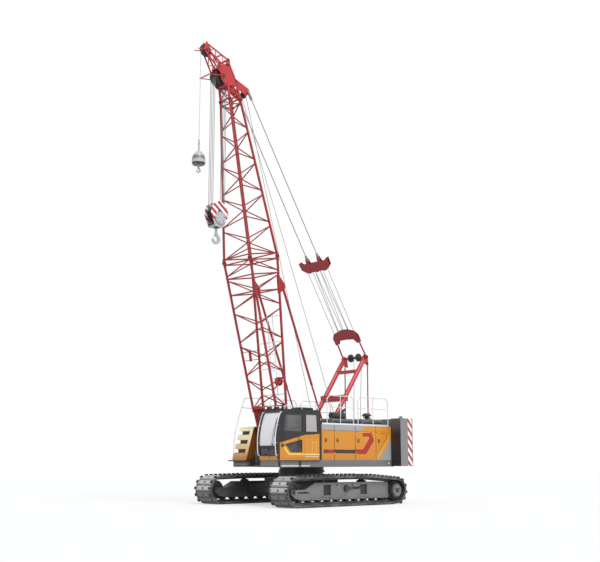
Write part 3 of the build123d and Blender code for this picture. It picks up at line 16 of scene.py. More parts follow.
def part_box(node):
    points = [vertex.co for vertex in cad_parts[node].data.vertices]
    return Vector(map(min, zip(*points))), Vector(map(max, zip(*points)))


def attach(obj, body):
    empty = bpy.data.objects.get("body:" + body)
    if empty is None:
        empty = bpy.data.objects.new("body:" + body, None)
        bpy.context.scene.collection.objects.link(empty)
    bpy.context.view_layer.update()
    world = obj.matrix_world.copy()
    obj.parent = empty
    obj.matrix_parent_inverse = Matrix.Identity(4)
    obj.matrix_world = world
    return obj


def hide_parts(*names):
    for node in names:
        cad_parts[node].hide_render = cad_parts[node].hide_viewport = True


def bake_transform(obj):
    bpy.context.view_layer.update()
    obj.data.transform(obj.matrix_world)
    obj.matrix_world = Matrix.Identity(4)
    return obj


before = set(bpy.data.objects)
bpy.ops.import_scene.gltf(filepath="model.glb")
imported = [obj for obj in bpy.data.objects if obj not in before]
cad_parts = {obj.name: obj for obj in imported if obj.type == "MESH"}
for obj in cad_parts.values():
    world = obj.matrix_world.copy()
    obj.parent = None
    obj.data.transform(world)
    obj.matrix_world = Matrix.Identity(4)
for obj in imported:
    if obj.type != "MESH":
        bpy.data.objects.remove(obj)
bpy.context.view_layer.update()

log = logging.getLogger("crane")

Triple = tuple[float, float, float]
Pair = tuple[float, float]

SLEW_X = -0.397788
"""Where the slewing axis stands in the row frame."""


FORWARD, ACROSS, UP = Vector((1, 0, 0)), Vector((0, 1, 0)), Vector((0, 0, 1))


def at(x: float, y: float, z: float) -> Vector:
    """Point counted from the slewing axis on the ground, in the row frame."""
    return Vector((x + SLEW_X, y, z))


class Side(Enum):
    """The crane's two sides, as the sign of Y."""

    LEFT = 1
    RIGHT = -1

    @property
    def word(self) -> str:
        """The side's name in node names."""
        return self.name.lower()


class Body(Enum):
    """Bodies of the frame that new pieces ride on."""

    UNDERCARRIAGE = "undercarriage"
    UPPER = "upper"
    BOOM = "boom"
    BLOCK = "main_block"
    HOOK = "main_hook"
    BALL = "auxiliary_ball"
    BALL_HOOK = "auxiliary_hook"
    DOOR = "door"
    MAIN_DRUM = "main_drum"
    AUXILIARY_DRUM = "auxiliary_drum"
    LUFFING_DRUM = "luffing_drum"
    PANEL_LEFT_1 = "side_panel_left_1"
    PANEL_LEFT_2 = "side_panel_left_2"
    PANEL_LEFT_3 = "side_panel_left_3"
    PANEL_LEFT_4 = "side_panel_left_4"
    PANEL_RIGHT_1 = "side_panel_right_1"
    PANEL_RIGHT_2 = "side_panel_right_2"


# Shader building

class Number:
    """A number socket whose arithmetic adds Math nodes."""

    def __init__(self, shader: "Tree", source: object) -> None:
        """Keep the node tree and an output socket or a plain number."""
        self.shader = shader
        self.source = source

    def _math(self, operation: str, *values: object) -> "Number":
        """Add one Math node over the given values."""
        raw = [value.source if isinstance(value, Number) else value for value in values]
        inputs = dict(enumerate(raw))
        return Number(self.shader, self.shader.node("ShaderNodeMath", {"operation": operation}, inputs))

    def __add__(self, other: object) -> "Number":
        """Sum."""
        return self._math("ADD", self, other)

    __radd__ = __add__

    def __sub__(self, other: object) -> "Number":
        """Difference."""
        return self._math("SUBTRACT", self, other)

    def __rsub__(self, other: object) -> "Number":
        """Reflected difference."""
        return self._math("SUBTRACT", other, self)

    def __mul__(self, other: object) -> "Number":
        """Product."""
        return self._math("MULTIPLY", self, other)

    __rmul__ = __mul__

    def __truediv__(self, other: object) -> "Number":
        """Quotient."""
        return self._math("DIVIDE", self, other)

    def __gt__(self, other: object) -> "Number":
        """One where this is greater, else zero."""
        return self._math("GREATER_THAN", self, other)

    def __lt__(self, other: object) -> "Number":
        """One where this is less, else zero."""
        return self._math("LESS_THAN", self, other)

    def __or__(self, other: object) -> "Number":
        """The greater of two masks."""
        return self._math("MAXIMUM", self, other)

    def __and__(self, other: object) -> "Number":
        """The lesser of two masks."""
        return self._math("MINIMUM", self, other)

    def __abs__(self) -> "Number":
        """Size without its sign."""
        return self._math("ABSOLUTE", self)

    def fraction(self) -> "Number":
        """Part after the point."""
        return self._math("FRACT", self)

    def clamp(self) -> "Number":
        """This number held between zero and one."""
        return self._math("MAXIMUM", self._math("MINIMUM", self, 1.0), 0.0)


class Tree:
    """A node tree under construction."""

    def __init__(self, tree: bpy.types.NodeTree) -> None:
        """Start with no node."""
        self.tree = tree
        self.tree.nodes.clear()

    def node(self, kind: str, settings: dict[str, object], inputs: dict[object, object],
             output: object = 0) -> object:
        """Add a node.

        Args:
            kind: the node's type.
            settings: attributes set before its sockets.
            inputs: values or output sockets by input name or index.
            output: name or index of the wanted output, None where it has none.

        Returns:
            The output socket.
        """
        made = self.tree.nodes.new(kind)
        for key, value in settings.items():
            setattr(made, key, value)
        for key, value in inputs.items():
            raw = value.source if isinstance(value, Number) else value
            if isinstance(raw, bpy.types.NodeSocket):
                self.tree.links.new(raw, made.inputs[key])
            else:
                made.inputs[key].default_value = raw
        return None if output is None else made.outputs[output]

    def seen(self) -> Number:
        """One for the camera and for what shines or lets light through, else zero."""
        rays = self.node("ShaderNodeLightPath", {}, {}).node.outputs
        kinds = ("Camera", "Glossy", "Transmission")
        camera, glossy, passed = (Number(self, rays[f"Is {kind} Ray"]) for kind in kinds)
        return camera | glossy | passed


class Shader(Tree):
    """One material's node tree with its Principled shader."""

    def __init__(self, name: str, **surface: object) -> None:
        """Start a material.

        Args:
            name: the material's name.
            surface: fixed values of the Principled shader's sockets.
        """
        self.material = bpy.data.materials.new(name)
        self.material.use_nodes = True
        super().__init__(self.material.node_tree)
        self.principled = self.node("ShaderNodeBsdfPrincipled", {}, {}).node
        self.node("ShaderNodeOutputMaterial", {}, {0: self.principled.outputs[0]}, None)
        self._position: object = None
        for socket, value in surface.items():
            self.feed(socket.replace("_", " "), value)

    def feed(self, socket: str, value: object) -> None:
        """Set or link a socket of the Principled shader."""
        raw = value.source if isinstance(value, Number) else value
        target = self.principled.inputs[socket]
        if isinstance(raw, bpy.types.NodeSocket):
            self.tree.links.new(raw, target)
        elif isinstance(raw, tuple) and len(raw) == 3 and target.type == "RGBA":
            target.default_value = (*raw, 1.0)
        else:
            target.default_value = raw

    def position(self) -> object:
        """Object coordinates."""
        if self._position is None:
            self._position = self.node("ShaderNodeTexCoord", {}, {}, "Object")
        return self._position

    def axes(self) -> tuple[Number, Number, Number]:
        """Object coordinates counted from the slewing axis."""
        split = self.node("ShaderNodeSeparateXYZ", {}, {0: self.position()}).node
        x, y, z = (Number(self, part) for part in split.outputs)
        return x - SLEW_X, y, z

    def noise(self, scale: float, detail: float = 3.0, stretch: Triple = (1.0, 1.0, 1.0)) -> Number:
        """Soft noise over the object.

        Args:
            scale: size of the pattern, in repeats a metre.
            detail: octaves.
            stretch: factors on the three axes.

        Returns:
            A number about one half.
        """
        place = self.position()
        if stretch != (1.0, 1.0, 1.0):
            place = self.node("ShaderNodeMapping", {}, {"Vector": place, "Scale": stretch})
        inputs = {"Vector": place, "Scale": scale, "Detail": detail}
        return Number(self, self.node("ShaderNodeTexNoise", {}, inputs))

    def blend(self, factor: object, low: object, high: object) -> object:
        """Colour between two colours."""
        def rgba(colour: object) -> object:
            """Colour with its alpha."""
            return (*colour, 1.0) if isinstance(colour, tuple) and len(colour) == 3 else colour
        return self.node("ShaderNodeMix", {"data_type": "RGBA"}, {0: factor, 6: rgba(low), 7: rgba(high)}, 2)

    def band(self, x: Number, z: Number, start: Pair, end: Pair, width: float) -> Number:
        """Mask of a straight painted band.

        Args:
            x: place forward.
            z: height.
            start: first end of the middle line.
            end: other end of it.
            width: width of the band.

        Returns:
            One inside the band.
        """
        run, rise = end[0] - start[0], end[1] - start[1]
        length = math.hypot(run, rise)
        ux, uz = run / length, rise / length
        across = abs((x - start[0]) * -uz + (z - start[1]) * ux)
        along = (x - start[0]) * ux + (z - start[1]) * uz
        inside = (along > -width * 0.42) & (along < length + width * 0.42)
        return (across < width / 2) & inside

    def bands(self, x: Number, z: Number, strokes: Sequence[tuple[Pair, Pair, float]]) -> Number:
        """Mask of several bands, each with its two ends and its width."""
        first, *others = (self.band(x, z, *stroke) for stroke in strokes)
        for other in others:
            first = first | other
        return first

    def bump(self, height: Number, strength: float, distance: float) -> None:
        """Feed a bump of the given height to the surface."""
        inputs = {"Strength": strength, "Distance": distance, "Height": height}
        self.feed("Normal", self.node("ShaderNodeBump", {}, inputs))


@dataclass(frozen=True)
class Paint:
    """Sprayed machine paint with faint mottling, settled dust and a fine orange-peel."""

    name: str
    colour: Triple
    roughness: float = 0.38
    coat: float = 0.25
    dust: float = 0.12
    mottle: float = 0.06
    peel: float = 0.04
    specular: float = 0.45

    def pattern(self, made: Shader, x: Number, y: Number, z: Number) -> object:
        """Colour before any dust: plain, unless a skin paints on it."""
        return self.colour

    def build(self) -> bpy.types.Material:
        """The finish as a material: the pattern under mottling, dust and peel."""
        made = Shader(self.name, Specular_IOR_Level=self.specular, Coat_Weight=self.coat,
                      Coat_Roughness=0.12)
        colour = self.pattern(made, *made.axes())
        broad = made.noise(1.3, 4.0)
        fine = made.noise(26.0, 3.0)
        shade = made.blend((broad * 1.4 - 0.2).clamp() * self.mottle, colour, SOOT)
        grime = ((fine * broad * 4.0) - 0.75).clamp() * self.dust
        shade = made.blend(grime, shade, DUST)
        made.feed("Base Color", shade)
        made.feed("Roughness", (fine - 0.5) * 0.12 + self.roughness + grime * 0.5)
        made.bump(made.noise(240.0, 2.0), self.peel, 0.002)
        return made.material


@dataclass(frozen=True)
class CastSteel:
    """Dark cast or worked steel with bright rubbed places and dry dirt."""

    name: str
    colour: Triple
    rubbed: Triple = (0.33, 0.32, 0.30)
    wear: float = 0.35
    roughness: float = 0.55
    grain: float = 0.25

    def build(self) -> bpy.types.Material:
        """The finish as a material."""
        made = Shader(self.name, Specular_IOR_Level=0.5)
        broad = made.noise(2.4, 5.0)
        fine = made.noise(60.0, 4.0)
        worn = ((broad * 0.6 + fine * 0.6) * 3.2 - 1.75).clamp() * self.wear
        dirt = ((made.noise(7.0, 5.0)) * 3.0 - 1.7).clamp() * 0.45
        shade = made.blend(worn, self.colour, self.rubbed)
        shade = made.blend(dirt, shade, DRY_EARTH)
        made.feed("Base Color", shade)
        made.feed("Metallic", worn * 0.8 + 0.15)
        made.feed("Roughness", fine * 0.2 + self.roughness - 0.1 + dirt * 0.3)
        made.bump(fine * 0.6 + broad * 0.4, self.grain, 0.004)
        return made.material


@dataclass(frozen=True)
class Plastic:
    """Moulded plastic or rubber with a fine grained skin."""

    name: str
    colour: Triple
    roughness: float = 0.5
    grain: float = 0.15

    def build(self) -> bpy.types.Material:
        """The finish as a material."""
        made = Shader(self.name, Specular_IOR_Level=0.4)
        fine = made.noise(420.0, 2.0)
        broad = made.noise(5.0, 3.0)
        chalk = (broad - 0.35).clamp() * 0.3
        made.feed("Base Color", made.blend(chalk, self.colour, (0.20, 0.19, 0.17)))
        made.feed("Roughness", broad * 0.15 + self.roughness - 0.07)
        made.bump(fine, self.grain, 0.0008)
        return made.material


# Colours as the photograph shows them, in linear values

BOOM_RED = (0.29, 0.008, 0.011)
# Boom red made lighter for the head plates, gantry and sheave guards: a painted highlight.
PLATE_RED_HIGHLIT = (0.44, 0.030, 0.036)
AMBER = (0.60, 0.235, 0.018)
UNIT_GREY = (0.085, 0.088, 0.092)
DRIVE_BLACK = (0.030, 0.030, 0.031)
PALE_AMBER = (0.86, 0.60, 0.20)
# Pale cream of the tank's painted highlight.
HIGHLIGHT_CREAM = (0.90, 0.86, 0.56)
# Lighter amber of the painted highlight along the house's slanted seam.
HIGHLIGHT_AMBER = (0.66, 0.32, 0.055)
SEAM_BROWN = (0.070, 0.018, 0.006)
# Amber in shade, for the painted shade on the tank's inner side.
SHADE_BROWN = (0.20, 0.062, 0.012)
DARK_CAB = (0.016, 0.0165, 0.018)
SILL_GREY = (0.155, 0.157, 0.160)
FRAME_GREY = (0.150, 0.152, 0.155)
TAIL_GREY = (0.190, 0.195, 0.200)
ROOF_GREY = (0.32, 0.325, 0.335)
BELL_GREY = (0.42, 0.43, 0.44)
STRIPE_RED = (0.42, 0.014, 0.020)
STRIPE_WHITE = (0.78, 0.78, 0.78)
CASE_BLACK = (0.018, 0.018, 0.019)
SOOT = (0.02, 0.02, 0.02)
DUST = (0.36, 0.31, 0.26)
DRY_EARTH = (0.115, 0.095, 0.075)
DAMP_EARTH = (0.085, 0.075, 0.065)


class HouseSkin(Paint):
    """House paint: grey roof strip, stepped edge, grey tail corner and the stripe figure, with a painted
    highlight along the slanted seam and painted shade along the crease inside it.
    """

    def pattern(self, made: Shader, x: Number, y: Number, z: Number) -> object:
        """Colour before any dust."""
        step = 2.50 + ((x * -1.0 - 1.38) / 0.31).clamp() * 0.18
        roof = (z > step) | (z > 2.684)
        joints = (abs(x + 0.110) < 0.010) | (abs(x + 1.140) < 0.010) | (abs(x + 2.190) < 0.010)
        seam = 1.50 - (x + 2.34) * 1.1026
        tail = z < seam
        hull = made.blend(roof | tail, AMBER, ROOF_GREY)
        near, outer = y > 1.50, abs(y) > 1.50
        # Painted highlight: a lighter amber strip along the slanted seam.
        highlight_edge = (z > seam) & (z < seam + 0.26) & outer & (z < 2.48) & (x > -2.95)
        hull = made.blend(highlight_edge, hull, HIGHLIGHT_AMBER)
        # Painted shade: a darker amber line along the crease inside the slanted edge.
        bends = ((-2.22, 1.69), (-2.76, 2.245), (-2.745, 2.425), (-2.41, 2.436))
        crease_shade = made.bands(x, z, [(start, end, 0.018) for start, end in zip(bends, bends[1:])])
        strokes = (((-1.56, 2.378), (-1.92, 2.378), 0.085), ((-1.90, 2.370), (-1.975, 2.220), 0.150),
                   ((-1.955, 2.195), (-1.600, 1.790), 0.190), ((-1.60, 1.790), (-1.14, 1.790), 0.125))
        figure = made.bands(x, z, strokes) & (z > 1.7275)
        rims = [(start, end, width + 0.030) for start, end, width in strokes]
        edge = made.bands(x, z, rims) & (z > 1.7125)
        stripe = abs(z - 1.790) < 0.0625
        red_field = stripe & (x < 0.20) & (x > -1.14)
        black_field = stripe & (x < -0.09) & (x > -1.13)
        brown_field = stripe & (x < 0.40) & (x > 0.20)
        hull = made.blend(joints & outer & (z < 2.684), hull, SEAM_BROWN)
        shade = made.blend(crease_shade & outer, hull, (0.30, 0.085, 0.010))
        shade = made.blend(edge & near, shade, (0.10, 0.012, 0.014))
        shade = made.blend((figure | red_field) & near, shade, STRIPE_RED)
        shade = made.blend(black_field & near, shade, (0.022, 0.020, 0.020))
        return made.blend(brown_field & near, shade, (0.085, 0.050, 0.030))


class CabSkin(Paint):
    """Cab paint: dark above the waist line and amber below it, with painted shade along a crease and on the
    rear edges in the gap to the house.
    """

    def pattern(self, made: Shader, x: Number, y: Number, z: Number) -> object:
        """Colour before any dust."""
        waist = 2.36 - ((x - 0.67) * 0.07).clamp() - ((x - 1.37) / 1.11).clamp() * 0.19
        lower = (z < waist) & (x < 2.44)
        front = (x > 2.36) & (y < 1.58)
        low_front = front & (z < 1.66)
        shade = made.blend((lower - front).clamp() | low_front, DARK_CAB, AMBER)
        line = made.bands(x, z, (((0.68, 1.690), (2.05, 1.690), 0.040),
                                 ((2.06, 1.700), (2.26, 1.930), 0.045)))
        # Painted shade: a darker amber line along the crease of the lower panels.
        crease_shade = made.bands(x, z, (((2.24, 2.000), (1.42, 2.215), 0.020),
                                   ((1.42, 2.215), (0.72, 2.270), 0.016)))
        outer = y > 1.60
        shade = made.blend(line & outer, shade, PALE_AMBER)
        # Painted shade: the cab's rear edges go dark in the gap to the house.
        shade = made.blend((x < 0.672) & (abs(y - 1.15) > 0.44), shade, (0.030, 0.006, 0.006))
        return made.blend(crease_shade & outer & (z < waist), shade, (0.42, 0.15, 0.012))


class TailSkin(Paint):
    """Ballast paint with slanted stripes on the outer end of each side, and painted shade on the front
    faces, darker towards the bottom.
    """

    def pattern(self, made: Shader, x: Number, y: Number, z: Number) -> object:
        """Colour before any dust."""
        side = abs(y) > 2.0135
        strip = side & (x < -3.375) & (x > -3.60)
        stripes = ((z - x * 1.15) / 0.30).fraction() > 0.5
        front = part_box("tail_slab_1")[1].x - SLEW_X
        # Painted shade on the front faces, darker towards the bottom.
        front_shade = made.blend(((z - 2.45) / 0.5).clamp(), (0.018, 0.018, 0.020), (0.11, 0.112, 0.116))
        shade = made.blend(x > front - 0.006, TAIL_GREY, front_shade)
        shade = made.blend(strip, shade, STRIPE_WHITE)
        return made.blend(strip & stripes, shade, STRIPE_RED)


class TankSkin(Paint):
    """Tank paint from amber at the foot to pale cream higher up, a painted highlight; amber top; a brown
    inner side that is painted shade; painted shade in the step wells.
    """

    def pattern(self, made: Shader, x: Number, y: Number, z: Number) -> object:
        """Colour before any dust."""
        # Painted highlight: amber at the foot lightening to cream with height.
        rise = ((z - 1.60) / 0.75).clamp()
        shade = made.blend(rise, (0.56, 0.22, 0.045), HIGHLIGHT_CREAM)
        # Painted shade: the tank's inner side is brown.
        shade = made.blend(y > -0.775, shade, SHADE_BROWN)
        # Painted shade in the recessed step wells.
        front = 1.880 - (z - 1.50) * 0.2937
        well_shade = (y < -0.925) & (y > -1.52) & (x < front - 0.012)
        return made.blend(well_shade & (z < 2.60), shade, (0.13, 0.045, 0.012))


class DeckSkin(Paint):
    """Grey deck with a painted highlight on the lower flange, and painted shade between the tank and the cab
    and under the step plate.
    """

    def pattern(self, made: Shader, x: Number, y: Number, z: Number) -> object:
        """Colour before any dust."""
        # Painted highlight: a pale strip along the lower flange.
        flange_highlight = (z < 1.335) & (z > 1.290) & (x > 1.04) & (x < 2.30) & (y > 1.50)
        shade = made.blend(flange_highlight, SILL_GREY, (0.62, 0.62, 0.62))
        # Painted shade between the tank and the cab.
        well_shade = (y > -0.775) & (y < 0.69) & (x > 1.60)
        shade = made.blend(well_shade, shade, (0.030, 0.018, 0.012))
        # Painted shade under the step plate.
        plate = (y < -0.775) & (x > 1.70) & (z > 1.40) & (z < 1.497)
        return made.blend(plate, shade, (0.016, 0.016, 0.016))


class FrameSkin(Paint):
    """Grey track frame with a black hose cover and painted shade on the inner faces."""

    def pattern(self, made: Shader, x: Number, y: Number, z: Number) -> object:
        """Colour before any dust."""
        cover = (abs(y) > 2.1815) & (x > -0.31) & (x < 0.115) & (z > 0.465) & (z < 0.699)
        shade = made.blend(cover, FRAME_GREY, CASE_BLACK)
        # Painted shade: the inner faces of the frames are near black.
        shade = made.blend(abs(y) < 1.745, shade, (0.030, 0.030, 0.031))
        low = ((0.62 - z) / 0.5).clamp() * made.noise(4.0, 4.0)
        return made.blend(low * 0.5, shade, (0.05, 0.045, 0.04))


class DriveSkin(Paint):
    """Black drive ring with a grey cover in its middle."""

    def pattern(self, made: Shader, x: Number, y: Number, z: Number) -> object:
        """Colour before any dust."""
        dx, dz = x + 2.380, z - 0.470
        cover = (dx * dx + dz * dz < 0.207 ** 2) & (abs(y) > 2.30)
        return made.blend(cover, DRIVE_BLACK, FRAME_GREY)


@dataclass(frozen=True)
class TrackSkin:
    """Near-black shoes with random wear, and the pads that come round the idlers painted bright: partly
    wear, partly a painted highlight that is brighter higher up.
    """

    name: str = "track_skin"

    def build(self) -> bpy.types.Material:
        """The finish as a material."""
        made = Shader(self.name, Specular_IOR_Level=0.4)
        x, y, z = made.axes()
        broad, fine = made.noise(2.4, 5.0), made.noise(60.0, 4.0)
        dx, dz = x - 2.340, z - 0.490
        pads = (dx * dx + dz * dz > 0.440 ** 2) & (x > 2.32) & (abs(abs(y) - 1.960) < 0.436)
        # Painted highlight on the idler pads, brighter higher up.
        pad_highlight = ((z - 0.40) / 0.14).clamp() * 0.66 + 0.24
        speckle = (fine * 3.0 - 0.9).clamp() * 0.25 + 0.80
        # Random wear, and the idler pads painted bright: partly wear, partly painted highlight.
        worn = (((broad * 0.6 + fine * 0.6) * 3.2 - 1.70).clamp() * 0.35) | (pads * pad_highlight * speckle)
        dirt = ((made.noise(7.0, 5.0)) * 3.0 - 1.7).clamp() * 0.40
        shade = made.blend(worn, (0.034, 0.033, 0.032), (0.58, 0.575, 0.565))
        shade = made.blend(dirt, shade, DAMP_EARTH)
        made.feed("Base Color", shade)
        made.feed("Metallic", worn * 0.35 + 0.1)
        made.feed("Roughness", fine * 0.2 + 0.45 + dirt * 0.3)
        made.bump(fine * 0.6 + broad * 0.4, 0.25, 0.004)
        return made.material


class RoofSkin(Paint):
    """Dark grey roof units with a black muffler and a black intake cap."""

    def pattern(self, made: Shader, x: Number, y: Number, z: Number) -> object:
        """Colour before any dust."""
        black = ((z > 2.925) & (x > -1.30)) | ((z > 2.945) & (x < -1.70))
        return made.blend(black, UNIT_GREY, CASE_BLACK)


class BellSkin(Paint):
    """Grey auxiliary weight with a darker band and a black base ring."""

    def pattern(self, made: Shader, x: Number, y: Number, z: Number) -> object:
        """Colour before any dust."""
        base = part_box("ball_weight")[0].z
        band = (z > base + 0.17) & (z < base + 0.28)
        shade = made.blend(band, BELL_GREY, (0.16, 0.165, 0.17))
        return made.blend(z < base + 0.062, shade, CASE_BLACK)


@dataclass(frozen=True)
class Lens:
    """Ribbed lamp lens."""

    name: str
    colour: Triple
    glow: float = 0.0

    def build(self) -> bpy.types.Material:
        """The finish as a material."""
        made = Shader(self.name, Specular_IOR_Level=0.7, Coat_Weight=0.6, Emission_Strength=self.glow)
        x, y, _ = made.axes()
        ribs = (y / 0.008 + x / 0.008).fraction()
        shadow = tuple(part * 0.45 for part in self.colour)
        made.feed("Base Color", made.blend(ribs * 0.35, self.colour, shadow))
        made.feed("Emission Color", self.colour)
        made.feed("Roughness", ribs * 0.1 + 0.12)
        made.bump(ribs, 0.4, 0.001)
        return made.material


@dataclass(frozen=True)
class Mirror:
    """Silvered glass with a film of dust."""

    name: str = "mirror_glass"

    def build(self) -> bpy.types.Material:
        """The finish as a material."""
        made = Shader(self.name, Metallic=1.0)
        dust = (made.noise(9.0, 4.0) * 1.5 - 0.4).clamp()
        made.feed("Base Color", made.blend(dust * 0.3, (0.80, 0.82, 0.84), (0.5, 0.48, 0.45)))
        made.feed("Roughness", dust * 0.2 + 0.03)
        return made.material


class HazardSkin(Paint):
    """Grey hook gear with slanted red and white stripes on its cheek plates."""

    def pattern(self, made: Shader, x: Number, y: Number, z: Number) -> object:
        """Colour before any dust."""
        stripes = ((z - x * 0.8) / 0.24).fraction() > 0.5
        plate = (abs(y) > 0.170) & (abs(y) < 0.202) & (z > 9.44)
        shade = made.blend(plate, BELL_GREY, STRIPE_WHITE)
        return made.blend(plate & stripes, shade, STRIPE_RED)


@dataclass(frozen=True)
class Glazing:
    """Cab glass: a windscreen painted near white, which is a painted reflection, over a dark foot pane, and
    tinted side panes, the rear side pane painted pale rose as painted light.
    """

    name: str = "cab_glazing"
    painted_reflection: Triple = (0.84, 0.82, 0.85)
    painted_light_rose: Triple = (0.50, 0.45, 0.46)
    smoky: Triple = UNIT_GREY
    dark: Triple = (0.020, 0.021, 0.028)

    def build(self) -> bpy.types.Material:
        """The finish as a material."""
        made = Shader(self.name, Specular_IOR_Level=0.6, IOR=1.45)
        x, y, z = made.axes()
        dust = (made.noise(3.0, 4.0) * 1.6 - 0.4).clamp()
        front = (x > 2.26) & (y < 1.58)
        screen, foot = front & (z > 1.95), front & (z < 1.90)
        rear = (x < 1.32) & (y > 1.58) & (z > 2.30)
        low = (y > 1.58) & (z < 2.30)
        # Painted reflection: the windscreen is near white.
        shade = made.blend(screen, self.smoky, self.painted_reflection)
        # Painted light: the rear side pane is pale rose.
        shade = made.blend(rear, shade, self.painted_light_rose)
        shade = made.blend(foot | low, shade, self.dark)
        made.feed("Base Color", made.blend(dust * 0.2, shade, (0.45, 0.44, 0.42)))
        made.feed("Alpha", dust * 0.10 + 0.50 + screen * 0.30 + (foot | low) * 0.32 + rear * 0.12)
        made.feed("Roughness", dust * 0.10 + 0.03)
        return made.material


@dataclass(frozen=True)
class WireRope:
    """Greased wire rope with its strands drawn by a slanted wave."""

    name: str = "wire_rope"
    colour: Triple = (0.33, 0.33, 0.335)

    def build(self) -> bpy.types.Material:
        """The finish as a material."""
        made = Shader(self.name, Metallic=0.7, Specular_IOR_Level=0.5)
        x, y, z = made.axes()
        twist = ((z + x * 1.3 + y * 1.7) / 0.028).fraction()
        groove = abs(twist - 0.5) * 2.0
        grease = made.noise(5.0, 3.0)
        made.feed("Base Color", made.blend((groove * 0.55).clamp(), self.colour, (0.12, 0.12, 0.12)))
        made.feed("Roughness", grease * 0.2 + 0.34)
        made.bump(1.0 - groove, 0.5, 0.003)
        return made.material


@dataclass(frozen=True)
class SeatCloth:
    """Dark woven seat cloth."""

    name: str = "seat_cloth"

    def build(self) -> bpy.types.Material:
        """The finish as a material."""
        made = Shader(self.name, Sheen_Weight=0.25, Specular_IOR_Level=0.3)
        x, y, z = made.axes()
        weave = ((x / 0.006).fraction() * (y / 0.006 + z / 0.006).fraction())
        made.feed("Base Color", made.blend(weave * 0.6, (0.028, 0.028, 0.03), (0.075, 0.075, 0.08)))
        made.feed("Roughness", weave * 0.1 + 0.8)
        made.bump(weave, 0.4, 0.001)
        return made.material


class Finish(Enum):
    """All finishes of the crane."""

    BOOM_RED = Paint("boom_red", BOOM_RED, 0.40, 0.12, 0.05, specular=0.35)
    HOUSE = HouseSkin("house_skin", AMBER, 0.36, 0.22, 0.10, specular=0.25)
    CAB = CabSkin("cab_skin", DARK_CAB, 0.36, 0.12, 0.08, specular=0.30)
    # Lighter copy of the boom red, a painted highlight.
    PLATE_RED_HIGHLIT = Paint("plate_red_highlit", PLATE_RED_HIGHLIT, 0.40, 0.12, 0.05, specular=0.35)
    DARK_PAINT = Paint("dark_paint", DARK_CAB, 0.4, 0.1, 0.08, specular=0.30)
    AMBER = Paint("amber_paint", AMBER, 0.36, 0.35, 0.10)
    STEP_YELLOW = Paint("step_yellow", (0.80, 0.52, 0.14), 0.42, 0.2, 0.10)
    TANK = TankSkin("tank_skin", AMBER, 0.40, 0.1, 0.08, specular=0.28)
    TREAD = Paint("tread_brown", (0.16, 0.075, 0.03), 0.55, 0.0, 0.25)
    ROOF = Paint("roof_grey", ROOF_GREY, 0.42, 0.2, 0.14)
    ROOF_UNITS = RoofSkin("roof_unit_skin", UNIT_GREY, 0.45, 0.1, 0.2)
    SILL = Paint("sill_grey", SILL_GREY, 0.42, 0.2, 0.14)
    DECK = DeckSkin("deck_skin", SILL_GREY, 0.42, 0.2, 0.14)
    PALE_AMBER = Paint("pale_amber", PALE_AMBER, 0.40, 0.2, 0.06)
    FRAME = FrameSkin("frame_skin", FRAME_GREY, 0.46, 0.12, 0.22)
    DRIVE = DriveSkin("drive_skin", DRIVE_BLACK, 0.45, 0.1, 0.2)
    TAIL = TailSkin("tail_skin", TAIL_GREY, 0.45, 0.15, 0.16, specular=0.30)
    HAZARD = HazardSkin("hazard_skin", BELL_GREY, 0.42, 0.1, 0.14, specular=0.28)
    HOOK_GREY = Paint("hook_grey", (0.40, 0.41, 0.42), 0.42, 0.2, 0.12)
    BELL = BellSkin("bell_skin", BELL_GREY, 0.42, 0.2, 0.12)
    TRACK = TrackSkin()
    WHEEL = CastSteel("wheel_steel", (0.05, 0.05, 0.05), wear=0.25)
    HUB = Paint("hub_black", (0.022, 0.022, 0.023), 0.45, 0.05, 0.2, specular=0.25)
    SHEAVE = CastSteel("sheave_iron", (0.022, 0.022, 0.022), wear=0.2, roughness=0.48)
    ROPE = WireRope()
    GLASS = Glazing()
    SEAT = SeatCloth()
    CASE = Plastic("case_black", CASE_BLACK, 0.45)
    RUBBER = Plastic("rubber_black", (0.014, 0.014, 0.014), 0.7, 0.25)
    RAIL = Paint("rail_white", (0.66, 0.67, 0.68), 0.35, 0.3, 0.05)
    LENS = Lens("lamp_lens", (0.85, 0.85, 0.82), 0.25)
    MARKER = Lens("marker_lens", (0.62, 0.66, 0.06), 0.3)
    SCREEN = Lens("display_glass", (0.03, 0.05, 0.07))
    MIRROR = Mirror()
    ENGINE = Paint("engine_grey", (0.07, 0.072, 0.075), 0.5, 0.0, 0.3)


@cache
def material_of(finish: Finish) -> bpy.types.Material:
    """The finish's material, made at its first use."""
    return finish.value.build()


